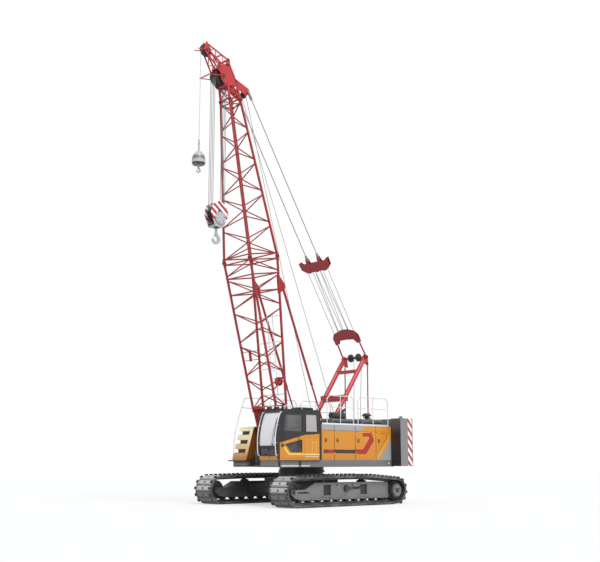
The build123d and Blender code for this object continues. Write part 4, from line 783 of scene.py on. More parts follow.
NODE_FINISHES: dict[Finish, tuple[str, ...]] = {
    Finish.DECK: ("deck",), Finish.CAB: ("cab_shell", "cab_door"), Finish.GLASS: ("cab_glass", "door_glass"),
    Finish.SEAT: ("seat",), Finish.CASE: ("controls",), Finish.ENGINE: ("engine",),
    Finish.TANK: ("side_tank",), Finish.ROOF_UNITS: ("roof_machinery",), Finish.RAIL: ("guard_rails",),
    Finish.PLATE_RED_HIGHLIT: ("sheave_guards", "gantry", "boom_head"),
    Finish.BOOM_RED: ("gantry_links", "boom_base", "boom_top", "backstops", "lower_spreader",
                      "upper_spreader"),
    Finish.SHEAVE: ("guide_sheaves", "main_winch", "auxiliary_winch", "luffing_winch", "lower_sheaves",
                    "upper_sheaves", "block_sheaves", "head_sheaves", "tip_sheave"),
    Finish.ROPE: ("luffing_falls", "pendants", "main_falls"), Finish.HAZARD: ("hook_block",),
    Finish.HOOK_GREY: ("main_hook", "ball_hook"), Finish.BELL: ("ball_weight",),
    Finish.HUB: ("car_body", "slewing_ring"), Finish.FRAME: ("track_frame_left", "track_frame_right"),
    Finish.TRACK: ("track_left", "track_right"), Finish.WHEEL: ("idler_", "rollers_"),
    Finish.DRIVE: ("sprocket_",), Finish.HOUSE: ("house_", "panel_"), Finish.TAIL: ("tail_slab_",),
}
"""Carried-over nodes by finish: whole names, or first parts that end in a low line."""


def dress_nodes() -> None:
    """Give every carried-over node its finish."""
    for finish, words in NODE_FINISHES.items():
        for name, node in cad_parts.items():
            if any(name == word or word.endswith("_") and name.startswith(word) for word in words):
                node.data.materials.clear()
                node.data.materials.append(material_of(finish))


# Mesh building

def rounded(points: Sequence[Vector], radius: float, steps: int = 4) -> list[Vector]:
    """Path with its inner corners turned into arcs.

    Args:
        points: corners of an open path.
        radius: radius of the bends.
        steps: points added at each bend.

    Returns:
        The points of the bent path.
    """
    path = [points[0]]
    for before, corner, after in zip(points, points[1:], points[2:]):
        back, ahead = before - corner, after - corner
        half = back.angle(ahead) / 2
        reach = min(radius / max(0.05, math.tan(half)), back.length * 0.48, ahead.length * 0.48)
        first, last = corner + back.normalized() * reach, corner + ahead.normalized() * reach
        for step in range(steps + 1):
            share = step / steps
            path.append(first.lerp(corner, share).lerp(corner.lerp(last, share), share))
    path.append(points[-1])
    return path


class Workpiece:
    """A mesh under construction, made with bmesh operators."""

    def __init__(self) -> None:
        """Start an empty mesh."""
        self.mesh = bmesh.new()

    def box(self, low: Triple, high: Triple, bevel: float = 0.0, segments: int = 2) -> None:
        """Add a box with softened edges.

        Args:
            low: one corner, counted from the slewing axis.
            high: the opposite corner.
            bevel: width of the softened edges.
            segments: steps of each softened edge.
        """
        start, end = at(*low), at(*high)
        size = (abs(part) for part in end - start)
        place = Matrix.Translation((start + end) / 2) @ Matrix.Diagonal((*size, 1.0))
        self.soften(bmesh.ops.create_cube(self.mesh, size=1.0, matrix=place)["verts"], bevel, segments)

    def soften(self, verts: Sequence[bmesh.types.BMVert], bevel: float, segments: int = 2) -> None:
        """Bevel every edge between the given vertices.

        Args:
            verts: vertices of a convex form.
            bevel: width of the softened edges, none at zero.
            segments: steps of each softened edge.
        """
        if bevel > 0:
            edges = list({edge for vert in verts for edge in vert.link_edges})
            bmesh.ops.bevel(self.mesh, geom=edges, offset=bevel, offset_type="OFFSET", affect="EDGES",
                            segments=segments, profile=0.5, material=-1)

    def slab(self, root: Vector, run: Vector, across: Vector, thick: Vector, cells: int = 1) -> None:
        """Add a slanted box from a corner and its three edges.

        Args:
            root: the corner.
            run: first edge.
            across: second edge.
            thick: third edge.
            cells: divisions of each edge, for a box that is shaped afterwards.
        """
        turn = Matrix((run, across, thick)).transposed().to_4x4()
        place = Matrix.Translation(root + (run + across + thick) / 2) @ turn
        made = bmesh.ops.create_cube(self.mesh, size=1.0, matrix=place)["verts"]
        if cells > 1:
            edges = list({edge for vert in made for edge in vert.link_edges})
            bmesh.ops.subdivide_edges(self.mesh, edges=edges, cuts=cells - 1, use_grid_fill=True)

    def rod(self, start: Vector, end: Vector, radius: float, sides: int = 12, bevel: float = 0.0) -> None:
        """Add a closed round bar between two points.

        Args:
            start: centre of the first end.
            end: centre of the other end.
            radius: its radius.
            sides: number of sides.
            bevel: width of the softened rims.
        """
        axis = end - start
        turn = axis.to_track_quat("Z", "Y").to_matrix().to_4x4()
        place = Matrix.Translation((start + end) / 2) @ turn
        made = bmesh.ops.create_cone(self.mesh, cap_ends=True, segments=sides, radius1=radius,
                                     radius2=radius, depth=axis.length, matrix=place)["verts"]
        if bevel > 0:
            rims = [edge for edge in {edge for vert in made for edge in vert.link_edges}
                    if abs((edge.verts[0].co - edge.verts[1].co).normalized().dot(axis.normalized())) < 0.5]
            bmesh.ops.bevel(self.mesh, geom=rims, offset=bevel, offset_type="OFFSET", affect="EDGES",
                            segments=2, profile=0.5, material=-1)

    def axle(self, x: float, z: float, start: float, end: float, radius: float, sides: int = 12,
             bevel: float = 0.0) -> None:
        """Add a round bar across the machine, from its place in the side view and its two ends."""
        self.rod(at(x, start, z), at(x, end, z), radius, sides, bevel=bevel)

    def post(self, x: float, y: float, low: float, high: float, radius: float, sides: int = 12,
             bevel: float = 0.0) -> None:
        """Add an upright round bar, with its ends' heights and else like an axle."""
        self.rod(at(x, y, low), at(x, y, high), radius, sides, bevel=bevel)

    def boom_axle(self, along: float, rear: float, start: float, end: float, radius: float, sides: int = 12,
                  bevel: float = 0.0) -> None:
        """Add a round bar across the boom, placed as a boom point and else like an axle."""
        self.rod(BOOM.point(along, start, rear), BOOM.point(along, end, rear), radius, sides, bevel=bevel)

    def bolt(self, place: Vector, outward: Vector, radius: float) -> None:
        """Add a hexagonal bolt head on its washer, seated a little into the face.

        Args:
            place: middle of the bolt on the face.
            outward: direction out of the face.
            radius: radius of the head.
        """
        out = outward.normalized()
        self.rod(place - out * radius * 0.3, place + out * radius * 0.25, radius * 1.35, 12)
        self.rod(place + out * radius * 0.2, place + out * radius * 0.9, radius, 6)

    def bolt_circle(self, centre: Vector, outward: Vector, reach: float, count: int, radius: float) -> None:
        """Add bolts evenly round a circle.

        Args:
            centre: middle of the circle.
            outward: direction out of the face.
            reach: radius of the circle.
            count: number of bolts.
            radius: radius of a head.
        """
        first = outward.orthogonal().normalized() * reach
        for index in range(count):
            spoke = first.copy()
            spoke.rotate(Quaternion(outward.normalized(), math.tau * index / count))
            self.bolt(centre + spoke, outward, radius)

    def ball(self, centre: Vector, radius: float) -> None:
        """Add a small round knob."""
        bmesh.ops.create_uvsphere(self.mesh, u_segments=14, v_segments=9, radius=radius,
                                  matrix=Matrix.Translation(centre))

    def tube(self, points: Sequence[Vector], radius: float, sides: int = 8, closed: bool = False) -> None:
        """Add a bent round tube with mitred corners.

        Args:
            points: corners of the tube's middle line.
            radius: radius of the tube.
            sides: number of sides.
            closed: whether it returns to its start.
        """
        count = len(points)
        legs = count if closed else count - 1
        runs = [(points[(index + 1) % count] - points[index]).normalized() for index in range(legs)]
        lift = runs[0].cross(runs[1]) if count > 2 else runs[0].orthogonal()
        lift = runs[0].orthogonal().normalized() if lift.length < 0.001 else lift.normalized()
        rings = []
        for index, point in enumerate(points):
            back = runs[index - 1] if closed or index else runs[0]
            ahead = runs[index] if closed or index < count - 1 else back
            lift = (lift - back * lift.dot(back)).normalized()
            across = back.cross(lift)
            heading = (back + ahead).normalized()
            ring = []
            for step in range(sides):
                angle = math.tau * step / sides
                offset = (lift * math.cos(angle) + across * math.sin(angle)) * radius
                slide = -offset.dot(heading) / max(0.3, back.dot(heading))
                ring.append(self.mesh.verts.new(point + offset + back * slide))
            rings.append(ring)
            lift = (lift - ahead * lift.dot(ahead)).normalized()
        pairs = list(zip(rings, rings[1:])) + ([(rings[-1], rings[0])] if closed else [])
        for near, far in pairs:
            for step in range(sides):
                after = (step + 1) % sides
                self.mesh.faces.new((near[step], near[after], far[after], far[step]))
        if not closed:
            self.mesh.faces.new(rings[0][::-1])
            self.mesh.faces.new(rings[-1])

    def ring(self, centre: Vector, radius: float, thick: float, axis: Vector, steps: int = 24,
             sides: int = 8) -> None:
        """Add a round ring.

        Args:
            centre: middle of the ring.
            radius: radius of its middle line.
            thick: radius of its section.
            axis: its axis.
            steps: corners along it.
            sides: sides of the section.
        """
        spoke = axis.orthogonal().normalized() * radius
        points = []
        for index in range(steps):
            turned = spoke.copy()
            turned.rotate(Quaternion(axis.normalized(), math.tau * index / steps))
            points.append(centre + turned)
        self.tube(points, thick, sides, closed=True)

    def prism(self, outline: Sequence[Vector], depth: Vector, bevel: float = 0.0) -> None:
        """Add a plate from an outline pushed along a vector.

        Args:
            outline: corners of one face in order.
            depth: the push.
            bevel: width of the softened edges.
        """
        verts = [self.mesh.verts.new(point) for point in outline]
        face = self.mesh.faces.new(verts)
        pushed = bmesh.ops.extrude_face_region(self.mesh, geom=[face])
        moved = [item for item in pushed["geom"] if isinstance(item, bmesh.types.BMVert)]
        bmesh.ops.translate(self.mesh, verts=moved, vec=depth)
        self.soften(verts + moved, bevel, 1)

    def spin(self, profile: Sequence[Vector], centre: Vector, axis: Vector, steps: int = 32) -> None:
        """Add a body turned from a profile round an axis.

        Args:
            profile: points of the profile, with its ends on the axis.
            centre: a point on the axis.
            axis: the axis.
            steps: number of sides.
        """
        verts = [self.mesh.verts.new(point) for point in profile]
        edges = [self.mesh.edges.new(pair) for pair in zip(verts, verts[1:])]
        bmesh.ops.spin(self.mesh, geom=verts + edges, cent=centre, axis=axis, dvec=(0, 0, 0),
                       angle=math.tau, steps=steps, use_merge=True)
        bmesh.ops.remove_doubles(self.mesh, verts=self.mesh.verts, dist=0.00005)

    def finish(self, name: str, finish: Finish, body: Body | None = Body.UPPER,
               smooth: float = 35.0) -> bpy.types.Object:
        """Close the mesh, dress it and let it ride on a body.

        Args:
            name: the piece's name.
            finish: its finish.
            body: the body it moves with, or None for a piece that rides on no body.
            smooth: largest angle of a smooth edge, in degrees.

        Returns:
            The piece.
        """
        bmesh.ops.recalc_face_normals(self.mesh, faces=self.mesh.faces)
        for face in self.mesh.faces:
            face.smooth = True
        for edge in self.mesh.edges:
            edge.smooth = len(edge.link_faces) == 2 and edge.calc_face_angle(0.0) < math.radians(smooth)
        data = bpy.data.meshes.new(name)
        self.mesh.to_mesh(data)
        self.mesh.free()
        data.materials.append(material_of(finish))
        piece = bpy.data.objects.new(name, data)
        bpy.context.scene.collection.objects.link(piece)
        if body is not None:
            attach(piece, body.value)
        log.info("%s: %d faces", name, len(data.polygons))
        return piece


# Places shared by the assemblies

@dataclass(frozen=True)
class BoomAxes:
    """The boom's own axes: along it from the foot pin, to the left, and to the rear."""

    foot_x: float = 1.251
    foot_z: float = 1.910
    angle: float = 79.88

    def point(self, along: float, left: float, rear: float) -> Vector:
        """Point of the boom in the row frame.

        Args:
            along: metres from the foot pin.
            left: metres to the left of the centre plane.
            rear: metres behind the boom's middle line.

        Returns:
            The point.
        """
        turn = math.radians(self.angle)
        x = self.foot_x + along * math.cos(turn) - rear * math.sin(turn)
        z = self.foot_z + along * math.sin(turn) + rear * math.cos(turn)
        return at(x, left, z)

    def line(self, outline: Sequence[Pair], left: float) -> list[Vector]:
        """Points of an outline of pairs, along and rear, in one plane."""
        return [self.point(along, left, rear) for along, rear in outline]


BOOM = BoomAxes()
CAB_LEFT_Y = 1.620
CAB_RIGHT_Y = 0.690
CAB_ROOF_Z = 3.150
SEAT_Y = 1.155
HOUSE_FACE_Y = 1.538
HOUSE_ROOF_Z = 2.690
GAUGE_HALF = 1.960
RUBBER_EDGE = 0.009
MAIN_DRUM_X, AUXILIARY_DRUM_X, WINCH_Z = -0.400, -1.870, 2.060
LUFFING_DRUM_X, LUFFING_DRUM_Z = -2.620, 1.960


def upright(outline: Sequence[Pair], y: float) -> list[Vector]:
    """Points of an outline of pairs, forward and up, in one upright plane."""
    return [at(x, y, z) for x, z in outline]


def cab_front_x(z: float) -> float:
    """How far forward the curved cab front stands at a height."""
    (a, xa), (b, xb), (c, xc) = (1.50, 2.500), (2.30, 2.560), (3.15, 2.300)
    return (xa * (z - b) * (z - c) / ((a - b) * (a - c)) + xb * (z - a) * (z - c) / ((b - a) * (b - c))
            + xc * (z - a) * (z - b) / ((c - a) * (c - b)))


@dataclass
class CabDressing:
    """Seals, corner rails, wipers, lamps, mirror, hinges and handles of the cab."""

    seal: float = 0.011
    rail: float = 0.015
    window_low: float = 1.962
    window_high: float = 3.028
    rail_low: float = 1.66
    rail_high: float = 3.04
    lamp_places: Triple = (0.80, 1.16, 1.52)
    hinge_levels: Pair = (1.97, 2.67)
    side_window: tuple[Pair, ...] = ((0.76, 2.42), (1.29, 2.42), (1.29, 3.00), (0.80, 3.00))
    door_window: tuple[Pair, ...] = ((1.45, 2.42), (2.26, 2.42), (2.26, 2.74), (2.18, 2.99), (1.45, 2.99))
    low_window: tuple[Pair, ...] = ((1.47, 1.76), (1.96, 1.76), (2.18, 2.00), (1.47, 2.16))

    def build(self) -> None:
        """Add every piece of the cab's dressing."""
        self.seals()
        self.corner_rails()
        self.wipers()
        self.roof_kit()
        self.mirror()
        self.door_kit()
        self.interior()

    def seals(self) -> None:
        """Rubber seals round the panes of the shell and of the door."""
        left, right = CAB_LEFT_Y - 0.062, CAB_RIGHT_Y + 0.062
        heights = [self.window_low + (self.window_high - self.window_low) * step / 8 for step in range(9)]
        rise = [at(cab_front_x(z) + 0.004, left, z) for z in heights]
        fall = [at(cab_front_x(z) + 0.004, right, z) for z in reversed(heights)]
        work = Workpiece()
        work.tube(rise + fall, self.seal, closed=True)
        foot = ((right, 1.642), (left, 1.642), (left, 1.878), (right, 1.878))
        work.tube([at(cab_front_x(z) + 0.003, y, z) for y, z in foot], self.seal, closed=True)
        work.tube(upright(self.side_window, CAB_LEFT_Y), RUBBER_EDGE, closed=True)
        work.finish("cab_seals", Finish.RUBBER)
        door = Workpiece()
        door.tube(upright(self.door_window, CAB_LEFT_Y), RUBBER_EDGE, closed=True)
        door.tube(upright(self.low_window, CAB_LEFT_Y), RUBBER_EDGE, closed=True)
        door.finish("door_seals", Finish.RUBBER, Body.DOOR)

    def corner_rails(self) -> None:
        """Pale hand rails up both front corners, on short brackets."""
        work = Workpiece()
        for y in (CAB_RIGHT_Y + 0.02, CAB_LEFT_Y - 0.02):
            heights = [self.rail_low + (self.rail_high - self.rail_low) * step / 10 for step in range(11)]
            line = [at(cab_front_x(z) + 0.055, y, z) for z in heights]
            foot, head = heights[0], heights[-1]
            line = [at(cab_front_x(foot) - 0.01, y, foot)] + line + [at(cab_front_x(head) - 0.01, y, head)]
            work.tube(line, self.rail)
            for z in (2.05, 2.62):
                work.rod(at(cab_front_x(z) - 0.01, y, z), at(cab_front_x(z) + 0.055, y, z), 0.010)
        work.finish("cab_corner_rails", Finish.RAIL)

    def wipers(self) -> None:
        """Wipers on the upper and lower front panes."""
        work = Workpiece()
        for pivot_z, tip_z, pivot_y, tip_y in ((2.00, 2.86, 1.40, 1.50), (1.66, 1.86, 1.00, 1.22)):
            pivot = at(cab_front_x(pivot_z) + 0.03, pivot_y, pivot_z)
            elbow_z = (pivot_z + tip_z) / 2
            elbow = at(cab_front_x(elbow_z) + 0.034, (pivot_y + tip_y) / 2, elbow_z)
            tip = at(cab_front_x(tip_z) + 0.022, tip_y, tip_z)
            work.rod(at(cab_front_x(pivot_z) - 0.02, pivot_y, pivot_z), pivot, 0.022)
            work.tube([pivot, elbow, tip], 0.007)
            blade_low = at(cab_front_x(elbow_z - 0.18) + 0.012, tip_y - 0.02, elbow_z - 0.18)
            work.tube([blade_low, tip], 0.008)
        work.finish("cab_wipers", Finish.CASE)

    def roof_kit(self) -> None:
        """Work lamps on the brow, a low roof rail, the hatch rim and a cooling unit."""
        lamps, lenses = Workpiece(), Workpiece()
        for y in self.lamp_places:
            x = cab_front_x(3.10) - 0.02
            lamps.box((x - 0.05, y - 0.055, 3.155), (x + 0.04, y + 0.055, 3.245), 0.012)
            lamps.post(x - 0.01, y, 3.13, 3.16, 0.014)
            lenses.box((x + 0.036, y - 0.045, 3.165), (x + 0.046, y + 0.045, 3.235), 0.004)
        lamps.finish("cab_lamp_cases", Finish.CASE)
        lenses.finish("cab_lamp_lenses", Finish.LENS)
        rail = Workpiece()
        for y in (CAB_RIGHT_Y + 0.03, CAB_LEFT_Y - 0.03):
            rail.tube(rounded([at(2.22, y, CAB_ROOF_Z - 0.02), at(2.20, y, 3.27), at(0.72, y, 3.29),
                               at(0.70, y, CAB_ROOF_Z - 0.01)], 0.06), 0.013)
            rail.post(1.45, y, CAB_ROOF_Z - 0.01, 3.28, 0.011)
        rail.finish("cab_roof_rails", Finish.RAIL)
        hatch = Workpiece()
        rim = ((1.50, 0.84), (2.10, 0.84), (2.10, 1.47), (1.50, 1.47))
        hatch.tube([at(x, y, CAB_ROOF_Z) for x, y in rim], 0.014, closed=True)
        hatch.box((0.78, 0.86, CAB_ROOF_Z - 0.005), (1.30, 1.45, CAB_ROOF_Z + 0.085), 0.03, 3)
        for step in range(7):
            x = 0.86 + 0.06 * step
            hatch.box((x, 0.92, CAB_ROOF_Z + 0.083), (x + 0.03, 1.39, CAB_ROOF_Z + 0.092), 0.003)
        hatch.finish("cab_roof_unit", Finish.DARK_PAINT)

    def mirror(self) -> None:
        """Rear view mirror at the inner front corner."""
        y = CAB_RIGHT_Y + 0.08
        arm = Workpiece()
        arm.tube([at(cab_front_x(2.98) - 0.01, y, 2.98), at(2.60, y, 3.00), at(2.60, y, 2.96)], 0.009)
        arm.box((2.585, y - 0.055, 2.80), (2.617, y + 0.055, 2.97), 0.012)
        arm.finish("cab_mirror_case", Finish.CASE)
        face = Workpiece()
        face.box((2.580, y - 0.046, 2.809), (2.587, y + 0.046, 2.961), 0.003)
        face.finish("cab_mirror_face", Finish.MIRROR)

    def door_kit(self) -> None:
        """Hinges, handle, the pale sill strip and the small hatch behind the door."""
        y = CAB_LEFT_Y
        hinges = Workpiece()
        for z in self.hinge_levels:
            hinges.box((2.334, y - 0.004, z - 0.055), (2.39, y + 0.014, z + 0.055), 0.005)
            hinges.post(2.333, y + 0.010, z - 0.06, z + 0.06, 0.012)
        hinges.finish("door_hinges_fixed", Finish.CASE)
        leaf = Workpiece()
        for z in self.hinge_levels:
            leaf.box((2.24, y - 0.002, z - 0.045), (2.290, y + 0.008, z + 0.045), 0.003)
        leaf.box((1.60, y - 0.004, 2.345), (1.82, y + 0.006, 2.415), 0.004)
        grip = ((y, 2.30), (y + 0.04, 2.30), (y + 0.04, 1.98), (y, 1.98))
        leaf.tube(rounded([at(1.64, out, z) for out, z in grip], 0.02), 0.009)
        leaf.finish("door_hardware", Finish.CASE, Body.DOOR)
        strip = Workpiece()
        strip.box((0.70, y - 0.004, 1.605), (1.33, y + 0.004, 1.625), 0.002)
        strip.finish("cab_sill_strip", Finish.RAIL)
        hatch = Workpiece()
        hatch.box((0.84, y - 0.004, 1.78), (0.98, y + 0.006, 2.08), 0.012, 3)
        hatch.finish("cab_service_hatch", Finish.AMBER)
        rim = Workpiece()
        corners = ((0.82, 1.76), (1.00, 1.76), (1.00, 2.09), (0.82, 2.09))
        rim.tube(upright(corners, y + 0.002), 0.008, 6, closed=True)
        rim.finish("cab_hatch_rim", Finish.PALE_AMBER)

    def interior(self) -> None:
        """Levers, display, pedals and the floor mat."""
        work = Workpiece()
        for side in (-1, 1):
            y = SEAT_Y + side * 0.325
            work.tube(upright(((1.78, 2.10), (1.80, 2.22), (1.83, 2.34)), y), 0.012)
            work.ball(at(1.835, y, 2.36), 0.030)
            work.box((1.20, y - 0.045, 2.10), (1.55, y + 0.045, 2.16), 0.018)
            pedal_y = SEAT_Y + side * 0.09
            work.box((2.05, pedal_y - 0.045, 1.575), (2.11, pedal_y + 0.045, 1.72), 0.008)
        work.box((2.20, 0.80, 2.16), (2.24, 1.02, 2.38), 0.012)
        work.post(2.22, 0.91, 1.60, 2.18, 0.018)
        work.box((1.62, 0.80, 1.546), (2.36, 1.52, 1.556), 0.003)
        work.finish("cab_controls_kit", Finish.CASE)
        screen = Workpiece()
        screen.box((2.197, 0.815, 2.18), (2.201, 1.005, 2.36), 0.001)
        screen.finish("cab_display", Finish.SCREEN)


@dataclass
class SeatDressing:
    """The operator's seat: a rigid carrier with shaped, stuffed pads."""

    pad_width: float = 0.46
    puff: float = 0.030
    cells: int = 14

    def build(self) -> None:
        """Add the carrier and its pads."""
        self.carrier()
        y = SEAT_Y
        self.pad("seat_cushion", at(1.09, y, 1.945), Vector((0.49, 0, 0)), Vector((0, 0, 0.105)))
        self.pad("seat_backrest", at(1.075, y, 2.045), Vector((-0.10, 0, 0.54)), Vector((0.105, 0, 0.019)))
        self.pad("seat_headrest", at(0.980, y, 2.600), Vector((-0.02, 0, 0.12)), Vector((0.080, 0, 0.013)),
                 0.27)

    def carrier(self) -> None:
        """Pedestal, suspension box, shell plates and armrests."""
        y = SEAT_Y
        work = Workpiece()
        work.box((1.16, y - 0.17, 1.547), (1.50, y + 0.17, 1.62), 0.01)
        work.box((1.20, y - 0.13, 1.61), (1.46, y + 0.13, 1.84), 0.03)
        work.box((1.08, y - 0.22, 1.83), (1.57, y + 0.22, 1.955), 0.03)
        work.prism([at(1.08, y - 0.21, 1.90), at(1.085, y - 0.21, 2.045), at(0.985, y - 0.21, 2.60),
                    at(0.965, y - 0.21, 2.60), at(1.04, y - 0.21, 1.90)], Vector((0, 0.42, 0)), 0.008)
        for side in (-1, 1):
            arm_y = y + side * 0.235
            work.axle(1.07, 2.12, arm_y, y, 0.016)
            work.box((1.055, arm_y - 0.022, 2.105), (1.34, arm_y + 0.022, 2.150), 0.015)
        work.rod(at(0.985, y, 2.56), at(0.975, y, 2.66), 0.012)
        carrier = work.finish("seat_carrier", Finish.CASE)
        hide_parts("seat")

    def pad(self, name: str, root: Vector, run: Vector, thick: Vector, width: float = 0.0) -> None:
        """One stuffed pad with a raised middle and pulled-in seams.

        Args:
            name: the piece's name.
            root: middle of its lower rear edge.
            run: vector along it.
            thick: vector through it, towards the sitter.
            width: its width, the seat's own when zero.
        """
        width = width or self.pad_width
        work = Workpiece()
        across = Vector((0, width, 0))
        work.slab(root - across / 2, run, across, thick, self.cells)
        for vert in work.mesh.verts:
            local = vert.co - (root - across / 2)
            u = local.dot(run) / run.length_squared
            v = local.y / width
            w = local.dot(thick) / thick.length_squared
            bulge = max(0.0, (1 - (2 * u - 1) ** 4) * (1 - (2 * v - 1) ** 4)) ** 0.5
            seam = sum(math.exp(-((v - place) / 0.018) ** 2) for place in (0.24, 0.76))
            seam += math.exp(-((u - 0.5) / 0.016) ** 2) if 0.24 < v < 0.76 else 0.0
            lift = self.puff * bulge * (w - 0.35) - self.puff * 0.45 * min(1.0, seam) * max(0.0, w - 0.5)
            edge = max(abs(2 * u - 1), abs(2 * v - 1))
            tuck = 0.018 * max(0.0, edge - 0.86) / 0.14 * (2 * w - 1)
            vert.co += thick.normalized() * (lift - tuck)
        piece = work.finish(name, Finish.SEAT, smooth=60.0)


@dataclass
class HoistRopes:
    """Hoist ropes from the drums to the boom head, and the luffing rope."""

    rope: float = 0.011
    main_y: float = 0.12
    auxiliary_y: float = -0.10
    wrap_turns: int = 38
    head_along: float = 12.42
    head_rear: float = 0.52
    guide_radius: float = 0.12
    bend_share: float = 0.30

    def build(self) -> None:
        """Add the ropes, their wraps and the guide at the head."""
        self.hoists()
        self.luffing()
        self.wraps()
        self.head_guide()

    def hoists(self) -> None:
        """The two hoist ropes, straight from the drums to the guide at the boom head, and their runs over
        the head.
        """
        for name, drum_x, y in (("main_hoist_rope", MAIN_DRUM_X, self.main_y),
                                ("auxiliary_hoist_rope", AUXILIARY_DRUM_X, self.auxiliary_y)):
            top = BOOM.point(self.head_along, y, self.head_rear + self.guide_radius)
            low = at(drum_x - 0.281, y, 2.12)
            work = Workpiece()
            work.tube([low.lerp(top, step / 24) for step in range(25)], self.rope, sides=6)
            rope = work.finish(name, Finish.ROPE, None)
            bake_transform(rope)
        over = Workpiece()
        for y in (self.main_y, self.auxiliary_y):
            over.tube([BOOM.point(self.head_along, y, self.head_rear + self.guide_radius),
                       BOOM.point(12.75, y, 0.30), BOOM.point(13.10, y * 0.9, -0.13)], self.rope, sides=6)
        over.tube([BOOM.point(12.60, self.auxiliary_y, 0.45), BOOM.point(13.60, -0.03, -0.36),
                   BOOM.point(14.02, 0, -0.66)], self.rope, sides=6)
        over.finish("head_rope_runs", Finish.ROPE, Body.BOOM)

    def luffing(self) -> None:
        """Luffing rope from its drum up to the gantry head."""
        work = Workpiece()
        for y in (-0.20, 0.20):
            work.tube([at(-2.815, y * 0.7, 2.0), at(-2.899, y, 5.295)], self.rope, sides=6)
        work.finish("luffing_rope", Finish.ROPE)

    def wraps(self) -> None:
        """Rope wound on the three drums."""
        for body, x, z, radius in ((Body.MAIN_DRUM, MAIN_DRUM_X, WINCH_Z, 0.270),
                                   (Body.AUXILIARY_DRUM, AUXILIARY_DRUM_X, WINCH_Z, 0.270),
                                   (Body.LUFFING_DRUM, LUFFING_DRUM_X, LUFFING_DRUM_Z, 0.190)):
            work = Workpiece()
            for turn in range(self.wrap_turns):
                y = -0.50 + 1.0 * turn / (self.wrap_turns - 1)
                work.ring(at(x, y, z), radius + 0.010, 0.0125, ACROSS, 28, 5)
            work.finish(body.value.replace("drum", "wraps"), Finish.ROPE, body)

    def head_guide(self) -> None:
        """Guide wheels for the hoist ropes behind the boom head."""
        work = Workpiece()
        for y in (self.auxiliary_y, self.main_y):
            centre = BOOM.point(self.head_along, y, self.head_rear)
            work.ring(centre, self.guide_radius - 0.012, 0.020, ACROSS, 24, 8)
            half = ACROSS * 0.018
            work.rod(centre - half, centre + half, self.guide_radius - 0.02, 24)
        work.boom_axle(self.head_along, self.head_rear, -0.236, 0.236, 0.022)
        work.finish("head_rope_guides", Finish.SHEAVE, Body.BOOM)


